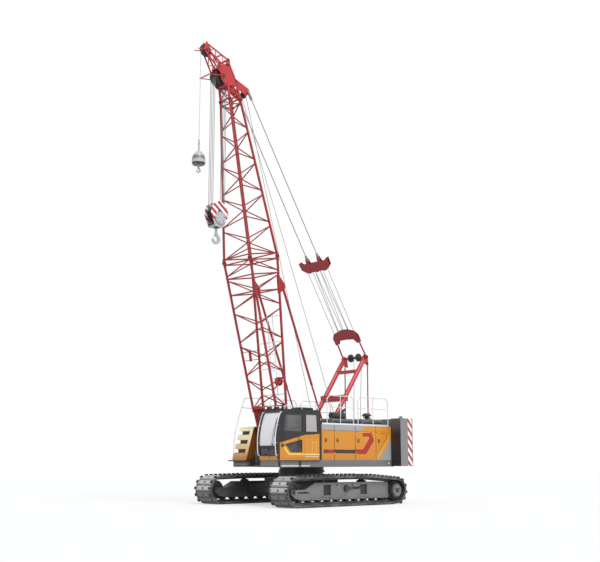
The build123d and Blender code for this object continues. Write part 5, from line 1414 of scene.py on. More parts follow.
@dataclass
class HouseDressing:
    """Hinges, latches, roof seams, grilles and the marker lamp of the machinery houses."""

    seams: tuple[float, ...] = (0.450, -0.110, -1.140, -2.190, -2.925)
    right_panels: int = 2
    hinge_levels: tuple[float, ...] = (1.72, 2.36)
    latch_z: float = 2.170
    roof_seams: tuple[float, ...] = (-0.62, -1.30, -2.05)
    louvres: int = 4
    intake_x: float = -2.20
    intake_y: float = 1.09
    intake_radius: float = 0.118
    intake_bars: int = 16

    def build(self) -> None:
        """Add every piece of the houses' dressing."""
        self.hinges()
        self.latches()
        self.roofs()
        self.marker()
        self.roof_units()

    def hinges(self) -> None:
        """Knuckle hinges behind each side panel."""
        work = Workpiece()
        for side, count in ((1, 4), (-1, self.right_panels)):
            for seam in self.seams[1:count + 1]:
                for z in self.hinge_levels:
                    if seam < -2.9 and z < 2.2:
                        z += 0.52
                    y = side * (HOUSE_FACE_Y + 0.004)
                    inner, outer = y - side * 0.006, y + side * 0.003
                    work.post(seam - 0.004, y, z - 0.05, z + 0.05, 0.011, 10)
                    work.box((seam - 0.045, inner, z - 0.045), (seam - 0.006, outer, z + 0.045), 0.002)
        work.finish("house_hinges", Finish.AMBER)

    def latches(self) -> None:
        """Recessed paddle latch and its rim on each side panel."""
        for side, count in ((Side.LEFT, 4), (Side.RIGHT, self.right_panels)):
            for index in range(count):
                x = self.seams[index] - 0.02 - 0.13
                y = side.value * (HOUSE_FACE_Y + 0.012)
                work = Workpiece()
                low, high = self.latch_z - 0.058, self.latch_z + 0.058
                rim = ((x - 0.036, low), (x + 0.036, low), (x + 0.036, high), (x - 0.036, high))
                work.tube(upright(rim, y), 0.006, 6, closed=True)
                work.box((x - 0.022, y - side.value * 0.004, self.latch_z - 0.035),
                         (x + 0.022, y + side.value * 0.010, self.latch_z + 0.012), 0.006)
                work.axle(x, self.latch_z + 0.032, y, y + side.value * 0.008, 0.011)
                panel = f"panel_{side.word}_{index + 1}"
                work.finish(f"latch_{side.word}_{index + 1}", Finish.CASE, Body(f"side_{panel}"))

    def roofs(self) -> None:
        """Roof seams, lifting eyes and the rain edge over the panels."""
        work = Workpiece()
        for side in (-1, 1):
            for x in self.roof_seams:
                work.box((x - 0.012, side * 0.72, HOUSE_ROOF_Z - 0.004),
                         (x + 0.012, side * 1.525, HOUSE_ROOF_Z + 0.006), 0.003)
            edge_y = side * (HOUSE_FACE_Y + 0.002)
            work.box((-1.38, edge_y - side * 0.004, 2.505), (0.46, edge_y + side * 0.008, 2.517), 0.003)
            for x in (0.34, -2.86):
                work.post(x, side * 0.80, HOUSE_ROOF_Z - 0.01, HOUSE_ROOF_Z + 0.02, 0.03, 16)
                work.ring(at(x, side * 0.80, HOUSE_ROOF_Z + 0.045), 0.028, 0.009, ACROSS, 16, 6)
        work.finish("house_roof_trim", Finish.ROOF)
        boards = Workpiece()
        for side in (-1, 1):
            boards.box((-2.90, side * 1.500, HOUSE_ROOF_Z - 0.004),
                       (0.44, side * 1.512, HOUSE_ROOF_Z + 0.060), 0.003)
        boards.finish("roof_toe_boards", Finish.RAIL)

    def marker(self) -> None:
        """Marker lamp on the rear end of each sill."""
        cases, lenses = Workpiece(), Workpiece()
        for side in (-1, 1):
            y = side * HOUSE_FACE_Y
            cases.box((-2.875, y - side * 0.004, 1.350), (-2.785, y + side * 0.014, 1.422), 0.006)
            lenses.box((-2.866, y + side * 0.012, 1.358), (-2.794, y + side * 0.024, 1.414), 0.008, 3)
        cases.finish("marker_cases", Finish.CASE)
        lenses.finish("marker_lenses", Finish.MARKER)

    def roof_units(self) -> None:
        """Louvres, clamps and caps on the exhaust and air intake units."""
        work = Workpiece()
        for front, rear in ((-0.15, -1.25), (-1.62, -2.75)):
            for face_y, out in ((1.380, 1), (0.800, -1)):
                for row in range(self.louvres):
                    z = 2.735 + 0.030 * row
                    work.slab(at(rear + 0.10, face_y - out * 0.004, z), Vector((front - rear - 0.20, 0, 0)),
                              Vector((0, out * 0.016, -0.010)), Vector((0, 0, 0.006)))
        for x in (-0.50, -0.92):
            work.ring(at(x, 1.09, 3.030), 0.119, 0.006, FORWARD, 24, 6)
            work.box((x - 0.014, 1.00, 2.905), (x + 0.014, 1.18, 2.93), 0.003)
        work.ring(at(-0.97, 1.09, 3.235), 0.050, 0.005, UP, 16, 6)
        for index in range(self.intake_bars):
            angle = math.tau * index / self.intake_bars
            x = self.intake_x + self.intake_radius * math.cos(angle)
            y = self.intake_y + self.intake_radius * math.sin(angle)
            work.post(x, y, 3.00, 3.075, 0.008, 6)
        work.ring(at(self.intake_x, self.intake_y, 3.005), self.intake_radius, 0.009, UP, 24, 6)
        work.finish("roof_unit_kit", Finish.CASE)


@dataclass
class DeckDressing:
    """Treads, step edges and plates of the front deck."""

    tread_levels: tuple[float, ...] = (1.750, 2.060, 2.370)
    tread_bars: int = 5
    tread_ties: int = 8
    grip_rows: int = 9
    rib_rows: int = 6
    rib_columns: int = 14

    def build(self) -> None:
        """Add the pieces of the deck."""
        self.treads()
        self.plates()
        self.fasteners()

    def tank_edge(self, z: float) -> float:
        """Front of the side tank at a height."""
        low, high, front, top = 1.5003, 2.59, 1.880, 1.560
        return front - (z - low) * (front - top) / (high - low)

    def treads(self) -> None:
        """Serrated treads on the tank's steps, and grip strips on its top."""
        work = Workpiece()
        for level in self.tread_levels:
            edge = self.tank_edge(level)
            for bar in range(self.tread_bars):
                x = edge - 0.16 + 0.036 * bar
                work.box((x - 0.004, -0.95, level - 0.002), (x + 0.004, -1.51, level + 0.009), 0.0015, 1)
            for tie in range(self.tread_ties):
                y = -0.96 - 0.075 * tie
                work.box((edge - 0.17, y - 0.003, level - 0.002), (edge + 0.002, y + 0.003, level + 0.006))
        work.finish("tank_treads", Finish.TREAD)
        grip = Workpiece()
        for row in range(self.grip_rows):
            x = 0.62 + 0.10 * row
            grip.box((x, -0.84, 2.649), (x + 0.035, -1.46, 2.654), 0.001, 1)
        grip.finish("tank_grip_strips", Finish.RUBBER)
        cap = Workpiece()
        profile = ((0.56, 2.700), (0.60, 2.700), (0.622, 2.690), (0.622, 2.648))
        cap.spin(upright(profile, -0.92), at(0.56, -0.92, 0), UP, 24)
        cap.finish("tank_cap", Finish.CASE)

    def plates(self) -> None:
        """Chequer ribs on the step plate."""
        work = Workpiece()
        for row in range(self.rib_rows):
            for column in range(self.rib_columns):
                x, y = 1.85 + 0.028 * row, -0.70 - 0.062 * column
                lean = 0.011 if (row + column) % 2 else -0.011
                work.slab(at(x - 0.011, y - lean, 1.4995), Vector((0.022, lean * 2, 0)),
                          Vector((0, 0.005, 0)), Vector((0, 0, 0.003)))
        work.finish("step_plate_ribs", Finish.TREAD)

    def fasteners(self) -> None:
        """Bolts along the sills and round the boom foot bosses."""
        work = Workpiece()
        for side in (-1, 1):
            out = ACROSS * side
            for x in (-2.70, -2.10, -1.50, -0.90, -0.30, 0.30, 0.90, 1.50):
                work.bolt(at(x, side * HOUSE_FACE_Y, 1.315), out, 0.011)
            work.bolt_circle(at(BOOM.foot_x, side * 0.660, BOOM.foot_z), out, 0.085, 6, 0.010)
            work.axle(BOOM.foot_x, BOOM.foot_z, side * 0.655, side * 0.672, 0.060, 20, bevel=0.004)
        work.finish("deck_bolts", Finish.SILL)
        brackets = Workpiece()
        for x in (2.40, 1.49):
            brackets.box((x - 0.040, HOUSE_FACE_Y - 0.004, 1.330),
                         (x + 0.040, HOUSE_FACE_Y + 0.022, 1.460), 0.006)
            brackets.rod(at(x, HOUSE_FACE_Y, 1.330), at(x, HOUSE_FACE_Y + 0.045, 1.300), 0.018, 12)
        brackets.finish("sill_brackets", Finish.CASE)
        seal = Workpiece()
        seal.box((0.505, 0.80, 1.502), (0.615, 1.560, 2.640), 0.010)
        seal.finish("cab_house_seal", Finish.RUBBER)


@dataclass
class TrackDressing:
    """Drive bolts, roller caps, adjuster, plates and shoe marks of both tracks."""

    frame_half: float = 0.220
    drive_x: float = -2.380
    drive_z: float = 0.470
    drive_face: float = 0.385
    idler_x: float = 2.340
    idler_z: float = 0.490
    roller_first: float = -1.900
    roller_pitch: float = 0.430
    roller_count: int = 9
    ring_radius: float = 0.795
    ring_bolts: int = 36
    pad_width: float = 0.880
    pad_reach: float = 0.439
    pitch: float = 0.199
    ledge: float = 0.0345
    tooth_width: float = 0.080
    tooth_length: float = 0.090
    tooth_height: float = 0.042

    def build(self) -> None:
        """Add the dressing of both tracks."""
        for side in Side:
            self.drive(side)
            self.frame(side)
            self.adjuster(side)
            self.shoes(side)
        self.car_body()

    def drive(self, side: Side) -> None:
        """Bolt circles and plugs of the final drive."""
        work = Workpiece()
        out, x, z = ACROSS * side.value, self.drive_x, self.drive_z
        middle = side.value * GAUGE_HALF
        work.bolt_circle(at(x, middle + side.value * 0.240, z), out, 0.292, 16, 0.013)
        work.bolt_circle(at(x, middle + side.value * (self.drive_face - 0.045), z), out, 0.234, 12, 0.011)
        cover = middle + side.value * self.drive_face
        work.bolt_circle(at(x, cover, z), out, 0.172, 10, 0.012)
        work.axle(x, z, cover - side.value * 0.01, cover + side.value * 0.014, 0.085, 28, bevel=0.005)
        for turn in (0.4, 2.6):
            work.bolt(at(x + 0.125 * math.cos(turn), cover, z + 0.125 * math.sin(turn)), out, 0.017)
        work.finish(f"drive_bolts_{side.word}", Finish.HUB, Body.UNDERCARRIAGE)

    def frame(self, side: Side) -> None:
        """Roller end caps, blank plate and bolts on the track frame."""
        work = Workpiece()
        out = ACROSS * side.value
        outer = side.value * (GAUGE_HALF + self.frame_half)
        for index in range(self.roller_count):
            x = self.roller_first + index * self.roller_pitch
            for drop in (-0.048, 0.048):
                work.bolt(at(x + drop, outer, 0.292), out, 0.012)
            work.axle(x, 0.262, outer - side.value * 0.004, outer + side.value * 0.012, 0.024, 16,
                      bevel=0.003)
        for x in (-0.86, 0.86):
            for corner in (-0.19, 0.19):
                for z in (0.735, 0.335):
                    work.bolt(at(x + corner, outer, z - 0.02), out, 0.012)
        work.finish(f"frame_bolts_{side.word}", Finish.FRAME, Body.UNDERCARRIAGE)
        plate = Workpiece()
        plate.box((0.30, outer - side.value * 0.003, 0.615),
                  (0.41, outer + side.value * 0.004, 0.672), 0.0015, 1)
        plate.finish(f"frame_plate_{side.word}", Finish.STEP_YELLOW, Body.UNDERCARRIAGE)
        hose = Workpiece()
        for lift in (0.0, 0.035):
            hose.tube(rounded([at(-0.28, outer + side.value * 0.024, 0.566 + lift),
                               at(-0.62, outer + side.value * 0.024, 0.566 + lift),
                               at(-0.70, outer - side.value * 0.010, 0.640 + lift),
                               at(-0.72, outer - side.value * 0.040, 0.790)], 0.05), 0.012, 8)
        hose.bolt_circle(at(0.0, outer + side.value * 0.060, 0.580), out, 0.080, 8, 0.008)
        hose.finish(f"frame_hoses_{side.word}", Finish.CASE, Body.UNDERCARRIAGE)

    def adjuster(self, side: Side) -> None:
        """Tension rod in its slot and the yoke at the idler's axle."""
        work = Workpiece()
        outer = side.value * (GAUGE_HALF + self.frame_half)
        inset = outer - side.value * 0.026
        work.rod(at(1.70, inset, 0.470), at(2.16, inset, 0.470), 0.018, 14)
        for index in range(9):
            x = 1.76 + 0.045 * index
            work.ring(at(x, inset, 0.470), 0.020, 0.0035, FORWARD, 14, 5)
        work.axle(self.idler_x, self.idler_z, outer - side.value * 0.006, outer + side.value * 0.022, 0.070,
                  24, bevel=0.005)
        face = at(self.idler_x, outer + side.value * 0.020, self.idler_z)
        work.bolt_circle(face, ACROSS * side.value, 0.045, 4, 0.009)
        work.finish(f"adjuster_{side.word}", Finish.HUB, Body.UNDERCARRIAGE)

    def shoes(self, side: Side) -> None:
        """Dark oval clean-out hole and end teeth of each shoe, taken from the track's own faces."""
        work, teeth = Workpiece(), Workpiece()
        centre_y = side.value * GAUGE_HALF
        seen = set()
        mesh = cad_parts[f"track_{side.word}"].data
        for face in mesh.polygons:
            corners = [mesh.vertices[index].co for index in face.vertices]
            spans = [(a, b) for place, a in enumerate(corners) for b in corners[place + 1:]]
            a, b = max(spans, key=lambda pair: (pair[0] - pair[1]).length)
            middle, reach = (a + b) / 2, abs(a.y - b.y)
            along = math.sqrt(max(0.0, (a - b).length_squared - reach ** 2))
            low_run = middle.z < 0.02
            if reach < self.pad_width * 0.98 or not 0.088 < along < 0.112 or low_run:
                continue
            key = (round(middle.x, 3), round(middle.z, 3))
            if key in seen:
                continue
            seen.add(key)
            normal = face.normal.normalized()
            forward = ACROSS.cross(normal).normalized()
            core = Vector((middle.x, centre_y, middle.z)) - normal * 0.004
            outline = []
            for step in range(14):
                angle = math.tau * step / 14
                spoke = ACROSS * (0.046 * math.cos(angle)) + forward * (0.040 * math.sin(angle))
                outline.append(core + spoke)
            work.prism(outline, normal * 0.0046)
            edge = core + forward * (self.pitch / 2) - normal * self.ledge
            reach = ACROSS * self.pad_reach
            work.slab(edge - reach - forward * 0.014, reach * 2, forward * 0.028, normal * 0.004)
            for end in (-1, 1):
                corner = edge + reach * end
                work.prism([corner - forward * 0.050, corner + forward * 0.050, edge + ACROSS * end * 0.335],
                           normal * 0.0045)
                start = -self.pad_reach if end < 0 else self.pad_reach - self.tooth_width
                foot = Vector((middle.x, centre_y + start, middle.z)) - normal * 0.002
                lowest = foot.z + normal.z * self.tooth_height - abs(forward.z) * self.tooth_length / 2
                if lowest > 0.004:
                    teeth.slab(foot - forward * self.tooth_length / 2, ACROSS * self.tooth_width,
                               forward * self.tooth_length, normal * self.tooth_height)
        teeth.finish(f"shoe_teeth_{side.word}", Finish.CASE, Body.UNDERCARRIAGE)
        log.info("%s track: %d shoes marked", side.word, len(seen))
        work.finish(f"shoe_holes_{side.word}", Finish.CASE, Body.UNDERCARRIAGE)

    def car_body(self) -> None:
        """Bolts of the slewing ring and of the beams' ends."""
        work = Workpiece()
        for index in range(self.ring_bolts):
            angle = math.tau * index / self.ring_bolts
            x, y = self.ring_radius * math.cos(angle), self.ring_radius * math.sin(angle)
            work.bolt(at(x, y, 1.140), UP, 0.011)
        for side in (-1, 1):
            for x in (-0.86, 0.86):
                for corner_x, corner_z in ((-0.12, 0.43), (0.12, 0.43), (-0.12, 0.64), (0.12, 0.64)):
                    work.bolt(at(x + corner_x, side * 2.120, corner_z), ACROSS * side, 0.014)
        work.finish("ring_bolts", Finish.HUB, Body.UNDERCARRIAGE)


@dataclass
class BoomDressing:
    """Connector pins, ladder, reel, plate and cable of the boom."""

    base_start: float = 1.300
    junction: float = 6.550
    head_start: float = 12.200
    half_widths: Triple = (0.606, 0.700, 0.250)
    half_depths: Triple = (0.222, 0.627, 0.240)
    ladder: tuple[float, float] = (1.75, 4.55)
    rung_pitch: float = 0.28

    def wide(self, along: float) -> float:
        """Half width of the boom at a place along it."""
        return self.half(along, self.half_widths)

    def deep(self, along: float) -> float:
        """Half depth of the boom at a place along it."""
        return self.half(along, self.half_depths)

    def half(self, along: float, table: Triple) -> float:
        """Value of a table at a place along the boom."""
        start, middle, end = table
        if along < self.junction:
            return start + (middle - start) * (along - self.base_start) / (self.junction - self.base_start)
        return middle + (end - middle) * (along - self.junction) / (self.head_start - self.junction)

    def build(self) -> None:
        """Add the boom's dressing."""
        self.connectors()
        self.base_ladder()
        self.reel()
        self.head_fittings()

    def connectors(self) -> None:
        """Fork lugs and pins that join the sections' chords."""
        lugs, pins = Workpiece(), Workpiece()
        for along, reach in ((self.junction, 0.15), (self.head_start, 0.11)):
            for left in (-1, 1):
                for rear in (-1, 1):
                    y = left * self.wide(along)
                    n = rear * self.deep(along)
                    y_low = left * self.wide(along - reach)
                    n_low = rear * self.deep(along - reach)
                    if along == self.junction:
                        lugs.rod(BOOM.point(along - reach, y_low, n_low),
                                 BOOM.point(along + reach * 0.9, y, n), 0.052, 16, bevel=0.006)
                    for shift in (-0.032, 0.032):
                        plate = y + shift
                        lugs.boom_axle(along, n, plate - 0.008, plate + 0.008, 0.068, 20, bevel=0.003)
                    pins.boom_axle(along, n, y - 0.062, y + 0.062, 0.026, 16, bevel=0.004)
                    pins.ring(BOOM.point(along, y + left * 0.054, n), 0.031, 0.004, ACROSS, 14, 5)
        lugs.finish("boom_connectors", Finish.BOOM_RED, Body.BOOM)
        pins.finish("boom_connector_pins", Finish.HUB, Body.BOOM)

    def base_ladder(self) -> None:
        """Ladder along the inside of the rear face, and its brackets."""
        work = Workpiece()
        low, high = self.ladder
        left, right = 0.285, 0.005
        for y in (left, right):
            work.rod(BOOM.point(low, y, self.deep(low) - 0.055),
                     BOOM.point(high, y, self.deep(high) - 0.055), 0.014, 8)
        count = int((high - low) / self.rung_pitch)
        for index in range(count + 1):
            along = low + 0.04 + index * self.rung_pitch
            n = self.deep(along) - 0.055
            work.boom_axle(along, n, left, right, 0.010, 8)
        for along in (1.80, 2.70, 3.60, 4.50):
            n = self.deep(along) - 0.055
            y = self.wide(along)
            work.boom_axle(along, n + 0.045, -y, y, 0.012, 8)
        work.finish("base_ladder", Finish.RAIL, Body.BOOM)

    def reel(self) -> None:
        """Cable reel by the left rear chord, and a small plate on the right face."""
        work = Workpiece()
        centre = BOOM.point(2.24, 0.40, self.deep(2.24) - 0.08)
        for shift in (-0.045, 0.045):
            work.rod(centre + ACROSS * (shift - 0.006), centre + ACROSS * (shift + 0.006), 0.150, 28,
                     bevel=0.003)
        work.rod(centre - ACROSS * 0.05, centre + ACROSS * 0.05, 0.09, 24)
        root = BOOM.point(2.24, self.wide(2.24), self.deep(2.24))
        work.rod(centre + ACROSS * 0.02, root, 0.020, 8)
        work.finish("cable_reel", Finish.BOOM_RED, Body.BOOM)
        coil = Workpiece()
        for turn in range(5):
            coil.ring(centre + ACROSS * (-0.032 + 0.016 * turn), 0.100, 0.008, ACROSS, 28, 6)
        coil.finish("cable_reel_coil", Finish.RAIL, Body.BOOM)
        plate = Workpiece()
        y = -self.wide(3.23)
        corners = ((3.04, -0.09), (3.42, -0.09), (3.42, 0.03), (3.04, 0.03))
        plate.prism(BOOM.line(corners, y - 0.004), Vector((0, 0.008, 0)), 0.002)
        for s in (3.08, 3.38):
            plate.rod(BOOM.point(s, y, -self.deep(s)), BOOM.point(s, y, self.deep(s)), 0.012, 8)
        plate.finish("boom_side_plate", Finish.BOOM_RED, Body.BOOM)

    def head_fittings(self) -> None:
        """Pin caps and bolts at the boom head."""
        work = Workpiece()
        for side in (-1, 1):
            out = ACROSS * side
            face = side * 0.265
            for s, n, radius, count in ((13.000, -0.405, 0.075, 6), (13.600, -0.090, 0.042, 4),
                                        (12.508, 0.620, 0.055, 4)):
                work.boom_axle(s, n, face - side * 0.004, face + side * 0.016, radius, 24, bevel=0.003)
                work.bolt_circle(BOOM.point(s, face + side * 0.015, n), out, radius * 0.66, count, 0.008)
            for s, n in ((12.72, -0.30), (12.72, 0.14), (12.90, -0.45), (13.20, -0.42), (13.34, -0.12),
                         (13.05, 0.03)):
                work.bolt(BOOM.point(s, face, n), out, 0.010)
            tip = side * 0.095
            work.boom_axle(13.93, -0.84, tip - side * 0.003, tip + side * 0.014, 0.052, 20, bevel=0.003)
        work.finish("head_pin_caps", Finish.HUB, Body.BOOM)


@dataclass
class HeadFrame:
    """Boom head: side plates, the lacing below them, ears for the pendants and the tip frame."""

    half_width: float = 0.250
    half_depth: float = 0.240
    plate: float = 0.030
    start: float = 12.202
    chord: float = 0.044
    lace: float = 0.020
    strut: float = 0.028
    nose_inner: float = 0.070
    nose_outer: float = 0.095
    sheave: Pair = (13.000, -0.405)
    tip: Pair = (13.930, -0.840)
    top: float = 14.255
    rear_foot: Pair = (13.600, -0.090)
    cheek: tuple[Pair, ...] = ((12.66, -0.34), (12.66, 0.21), (12.90, 0.165), (13.26, 0.045), (13.43, -0.02),
                               (13.43, -0.30), (13.38, -0.43), (13.20, -0.51), (12.86, -0.51))
    ear: tuple[Pair, ...] = ((12.66, 0.12), (12.92, 0.10), (12.92, 0.170), (12.62, 0.700), (12.44, 0.690),
                             (12.35, 0.530), (12.40, 0.455))
    foot_plate: tuple[Pair, ...] = ((13.38, -0.24), (13.38, -0.02), (13.60, -0.02), (13.67, -0.09),
                                    (13.60, -0.16))
    cross_tubes: tuple[Triple, ...] = (
        (12.72, 0.12, 0.050), (13.36, -0.14, 0.045), (13.36, -0.38, 0.034), (12.72, -0.27, 0.040),
        (13.05, 0.02, 0.036), (12.235, 0.240, 0.030), (12.235, -0.240, 0.030), (12.508, 0.620, 0.032),
        (13.60, -0.09, 0.034))
    rims: tuple[tuple[Pair, Pair], ...] = (((12.70, 0.16), (13.40, -0.06)), ((12.70, -0.34), (12.88, -0.47)),
                                           ((12.70, -0.30), (12.70, 0.13)))

    def build(self) -> None:
        """Build the head in place of its plain node."""
        work = Workpiece()
        for side in (-1, 1):
            self.side_plate(work, side)
            self.chords(work, side)
            self.tip_frame(work, side)
        self.cross_members(work)
        piece = work.finish("boom_head_frame", Finish.PLATE_RED_HIGHLIT, Body.BOOM)
        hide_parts("boom_head")

    def flat(self, work: Workpiece, outline: Sequence[Pair], y: float, thick: float) -> None:
        """Add a plate to the mesh, from its outline along and rear and its face to the right."""
        work.prism(BOOM.line(outline, y), Vector((0, thick, 0)), 0.003)

    def side_plate(self, work: Workpiece, side: int) -> None:
        """Side plate with its doubled rim, the pendant ear and the foot of the rear strut."""
        y = side * self.half_width - self.plate / 2
        for outline in (self.cheek, self.ear, self.foot_plate):
            self.flat(work, outline, y, self.plate)
        outer = side * (self.half_width + self.plate / 2)
        for rim in self.rims:
            work.rod(*BOOM.line(rim, outer), 0.016, 10)
        work.boom_axle(*self.sheave, outer, outer + side * 0.012, 0.11, 28)

    def chords(self, work: Workpiece, side: int) -> None:
        """Chord ends with their lugs, and the side's diagonals."""
        y = side * self.half_width
        for rear in (-1, 1):
            low = BOOM.point(self.start, y, rear * self.half_depth)
            high = BOOM.point(12.78, y, rear * (self.half_depth - 0.045) - 0.035)
            work.rod(low, high, self.chord, 16)
        for lace in (((12.66, -0.235), (12.26, 0.225)), ((12.46, 0.225), (12.24, -0.10)),
                     ((12.235, -self.half_depth), (12.235, self.half_depth))):
            work.rod(*BOOM.line(lace, y), self.lace, 10)

    def tip_frame(self, work: Workpiece, side: int) -> None:
        """Three struts up to the nose plate, and the lacing between them."""
        wide, narrow = side * self.half_width, side * (self.nose_inner + self.nose_outer) / 2
        tip_s, tip_n = self.tip
        front = (BOOM.point(13.10, wide, -0.470), BOOM.point(tip_s - 0.06, narrow, tip_n - 0.06))
        middle = (BOOM.point(13.36, wide, -0.310), BOOM.point(tip_s + 0.02, narrow, tip_n + 0.06))
        foot_s, foot_n = self.rear_foot
        rear = (BOOM.point(foot_s, wide, foot_n), BOOM.point(self.top - 0.12, narrow, tip_n + 0.09))
        for low, high in (front, middle, rear):
            work.rod(low, high, self.strut, 14)
        for start, end in ((0.08, 0.25), (0.45, 0.25), (0.45, 0.68), (0.85, 0.68)):
            work.rod(front[0].lerp(front[1], start), middle[0].lerp(middle[1], end), 0.015, 8)
        for start, end in ((0.04, 0.30), (0.50, 0.30), (0.50, 0.66)):
            work.rod(middle[0].lerp(middle[1], start), rear[0].lerp(rear[1], end), 0.015, 8)
        nose = [(tip_s - 0.09, tip_n + 0.07), (self.top - 0.14, tip_n + 0.12), (self.top, tip_n + 0.026),
                (tip_s + 0.15, tip_n - 0.07), (tip_s + 0.02, tip_n - 0.15), (tip_s - 0.09, tip_n - 0.09)]
        low = self.nose_inner if side > 0 else -self.nose_outer
        self.flat(work, nose, low, self.nose_outer - self.nose_inner)

    def cross_members(self, work: Workpiece) -> None:
        """Tubes and pins between both sides, and the lacing of the front and rear faces."""
        inner = self.half_width - self.plate / 2 + 0.004
        for s, n, radius in self.cross_tubes:
            work.boom_axle(s, n, -inner, inner, radius, 18)
        work.boom_axle(*self.sheave, -inner, inner, 0.0445, 20)
        reach = self.nose_inner + 0.004
        work.boom_axle(*self.tip, -reach, reach, 0.0295, 16)
        for n in (-self.half_depth, self.half_depth):
            work.rod(BOOM.point(12.26, -0.23, n), BOOM.point(12.68, 0.23, n * 0.9), self.lace, 10)
            work.rod(BOOM.point(12.26, 0.23, n), BOOM.point(12.68, -0.23, n * 0.9), self.lace, 10)
        for n_share in (0.35, 0.72):
            low, high = Vector((13.60, 0, -0.09)), Vector((self.top - 0.12, 0, self.tip[1] + 0.09))
            here = low.lerp(high, n_share)
            half = self.half_width + (0.0825 - self.half_width) * n_share
            work.boom_axle(here.x, here.z, -half, half, 0.015, 8)


@dataclass
class GantryDressing:
    """Pin caps and retainers on the gantry, and the winches' drives and bolts."""

    head_pin: Pair = (-2.737, 5.295)
    foot_pin: Pair = (-0.955, 2.750)
    link_pin: Pair = (-2.810, 5.065)

    def build(self) -> None:
        """Add the pieces of the gantry and the winches."""
        work = Workpiece()
        (head_x, head_z), (foot_x, foot_z), (link_x, link_z) = self.head_pin, self.foot_pin, self.link_pin
        for side in (-1, 1):
            out = ACROSS * side
            work.axle(head_x, head_z, side * 0.638, side * 0.654, 0.055, 20, bevel=0.003)
            work.bolt(at(head_x, side * 0.652, head_z), out, 0.014)
            work.axle(foot_x, foot_z, side * 0.655, side * 0.676, 0.070, 20, bevel=0.004)
            work.bolt_circle(at(foot_x, side * 0.674, foot_z), out, 0.048, 4, 0.009)
            work.axle(link_x, link_z, side * 0.588, side * 0.606, 0.034, 16, bevel=0.003)
            work.bolt(at(link_x, side * 0.604, link_z), out, 0.012)
        work.finish("gantry_pins", Finish.HUB)
        self.winches()

    def winches(self) -> None:
        """Winch drives and bearing rings on the main plates, and flange bolts on the drums."""
        drives = Workpiece()
        drums = ((Body.MAIN_DRUM, MAIN_DRUM_X, WINCH_Z, 0.335, 0.390),
                 (Body.AUXILIARY_DRUM, AUXILIARY_DRUM_X, WINCH_Z, 0.335, 0.390),
                 (Body.LUFFING_DRUM, LUFFING_DRUM_X, LUFFING_DRUM_Z, 0.250, 0.300))
        for _, x, z, _, _ in drums:
            for side in (-1, 1):
                drives.axle(x, z, side * 0.658, side * 0.690, 0.120, 28, bevel=0.006)
                drives.bolt_circle(at(x, side * 0.688, z), ACROSS * side, 0.095, 8, 0.009)
        drives.finish("winch_drives", Finish.HUB)
        for body, x, z, reach, rim in drums:
            bolts = Workpiece()
            for side in (-1, 1):
                bolts.bolt_circle(at(x, side * 0.560, z), ACROSS * side, reach, 12, 0.010)
                bolts.ring(at(x, side * 0.548, z), rim, 0.010, ACROSS, 32, 6)
            bolts.finish(f"{body.value}_bolts", Finish.SHEAVE, body)


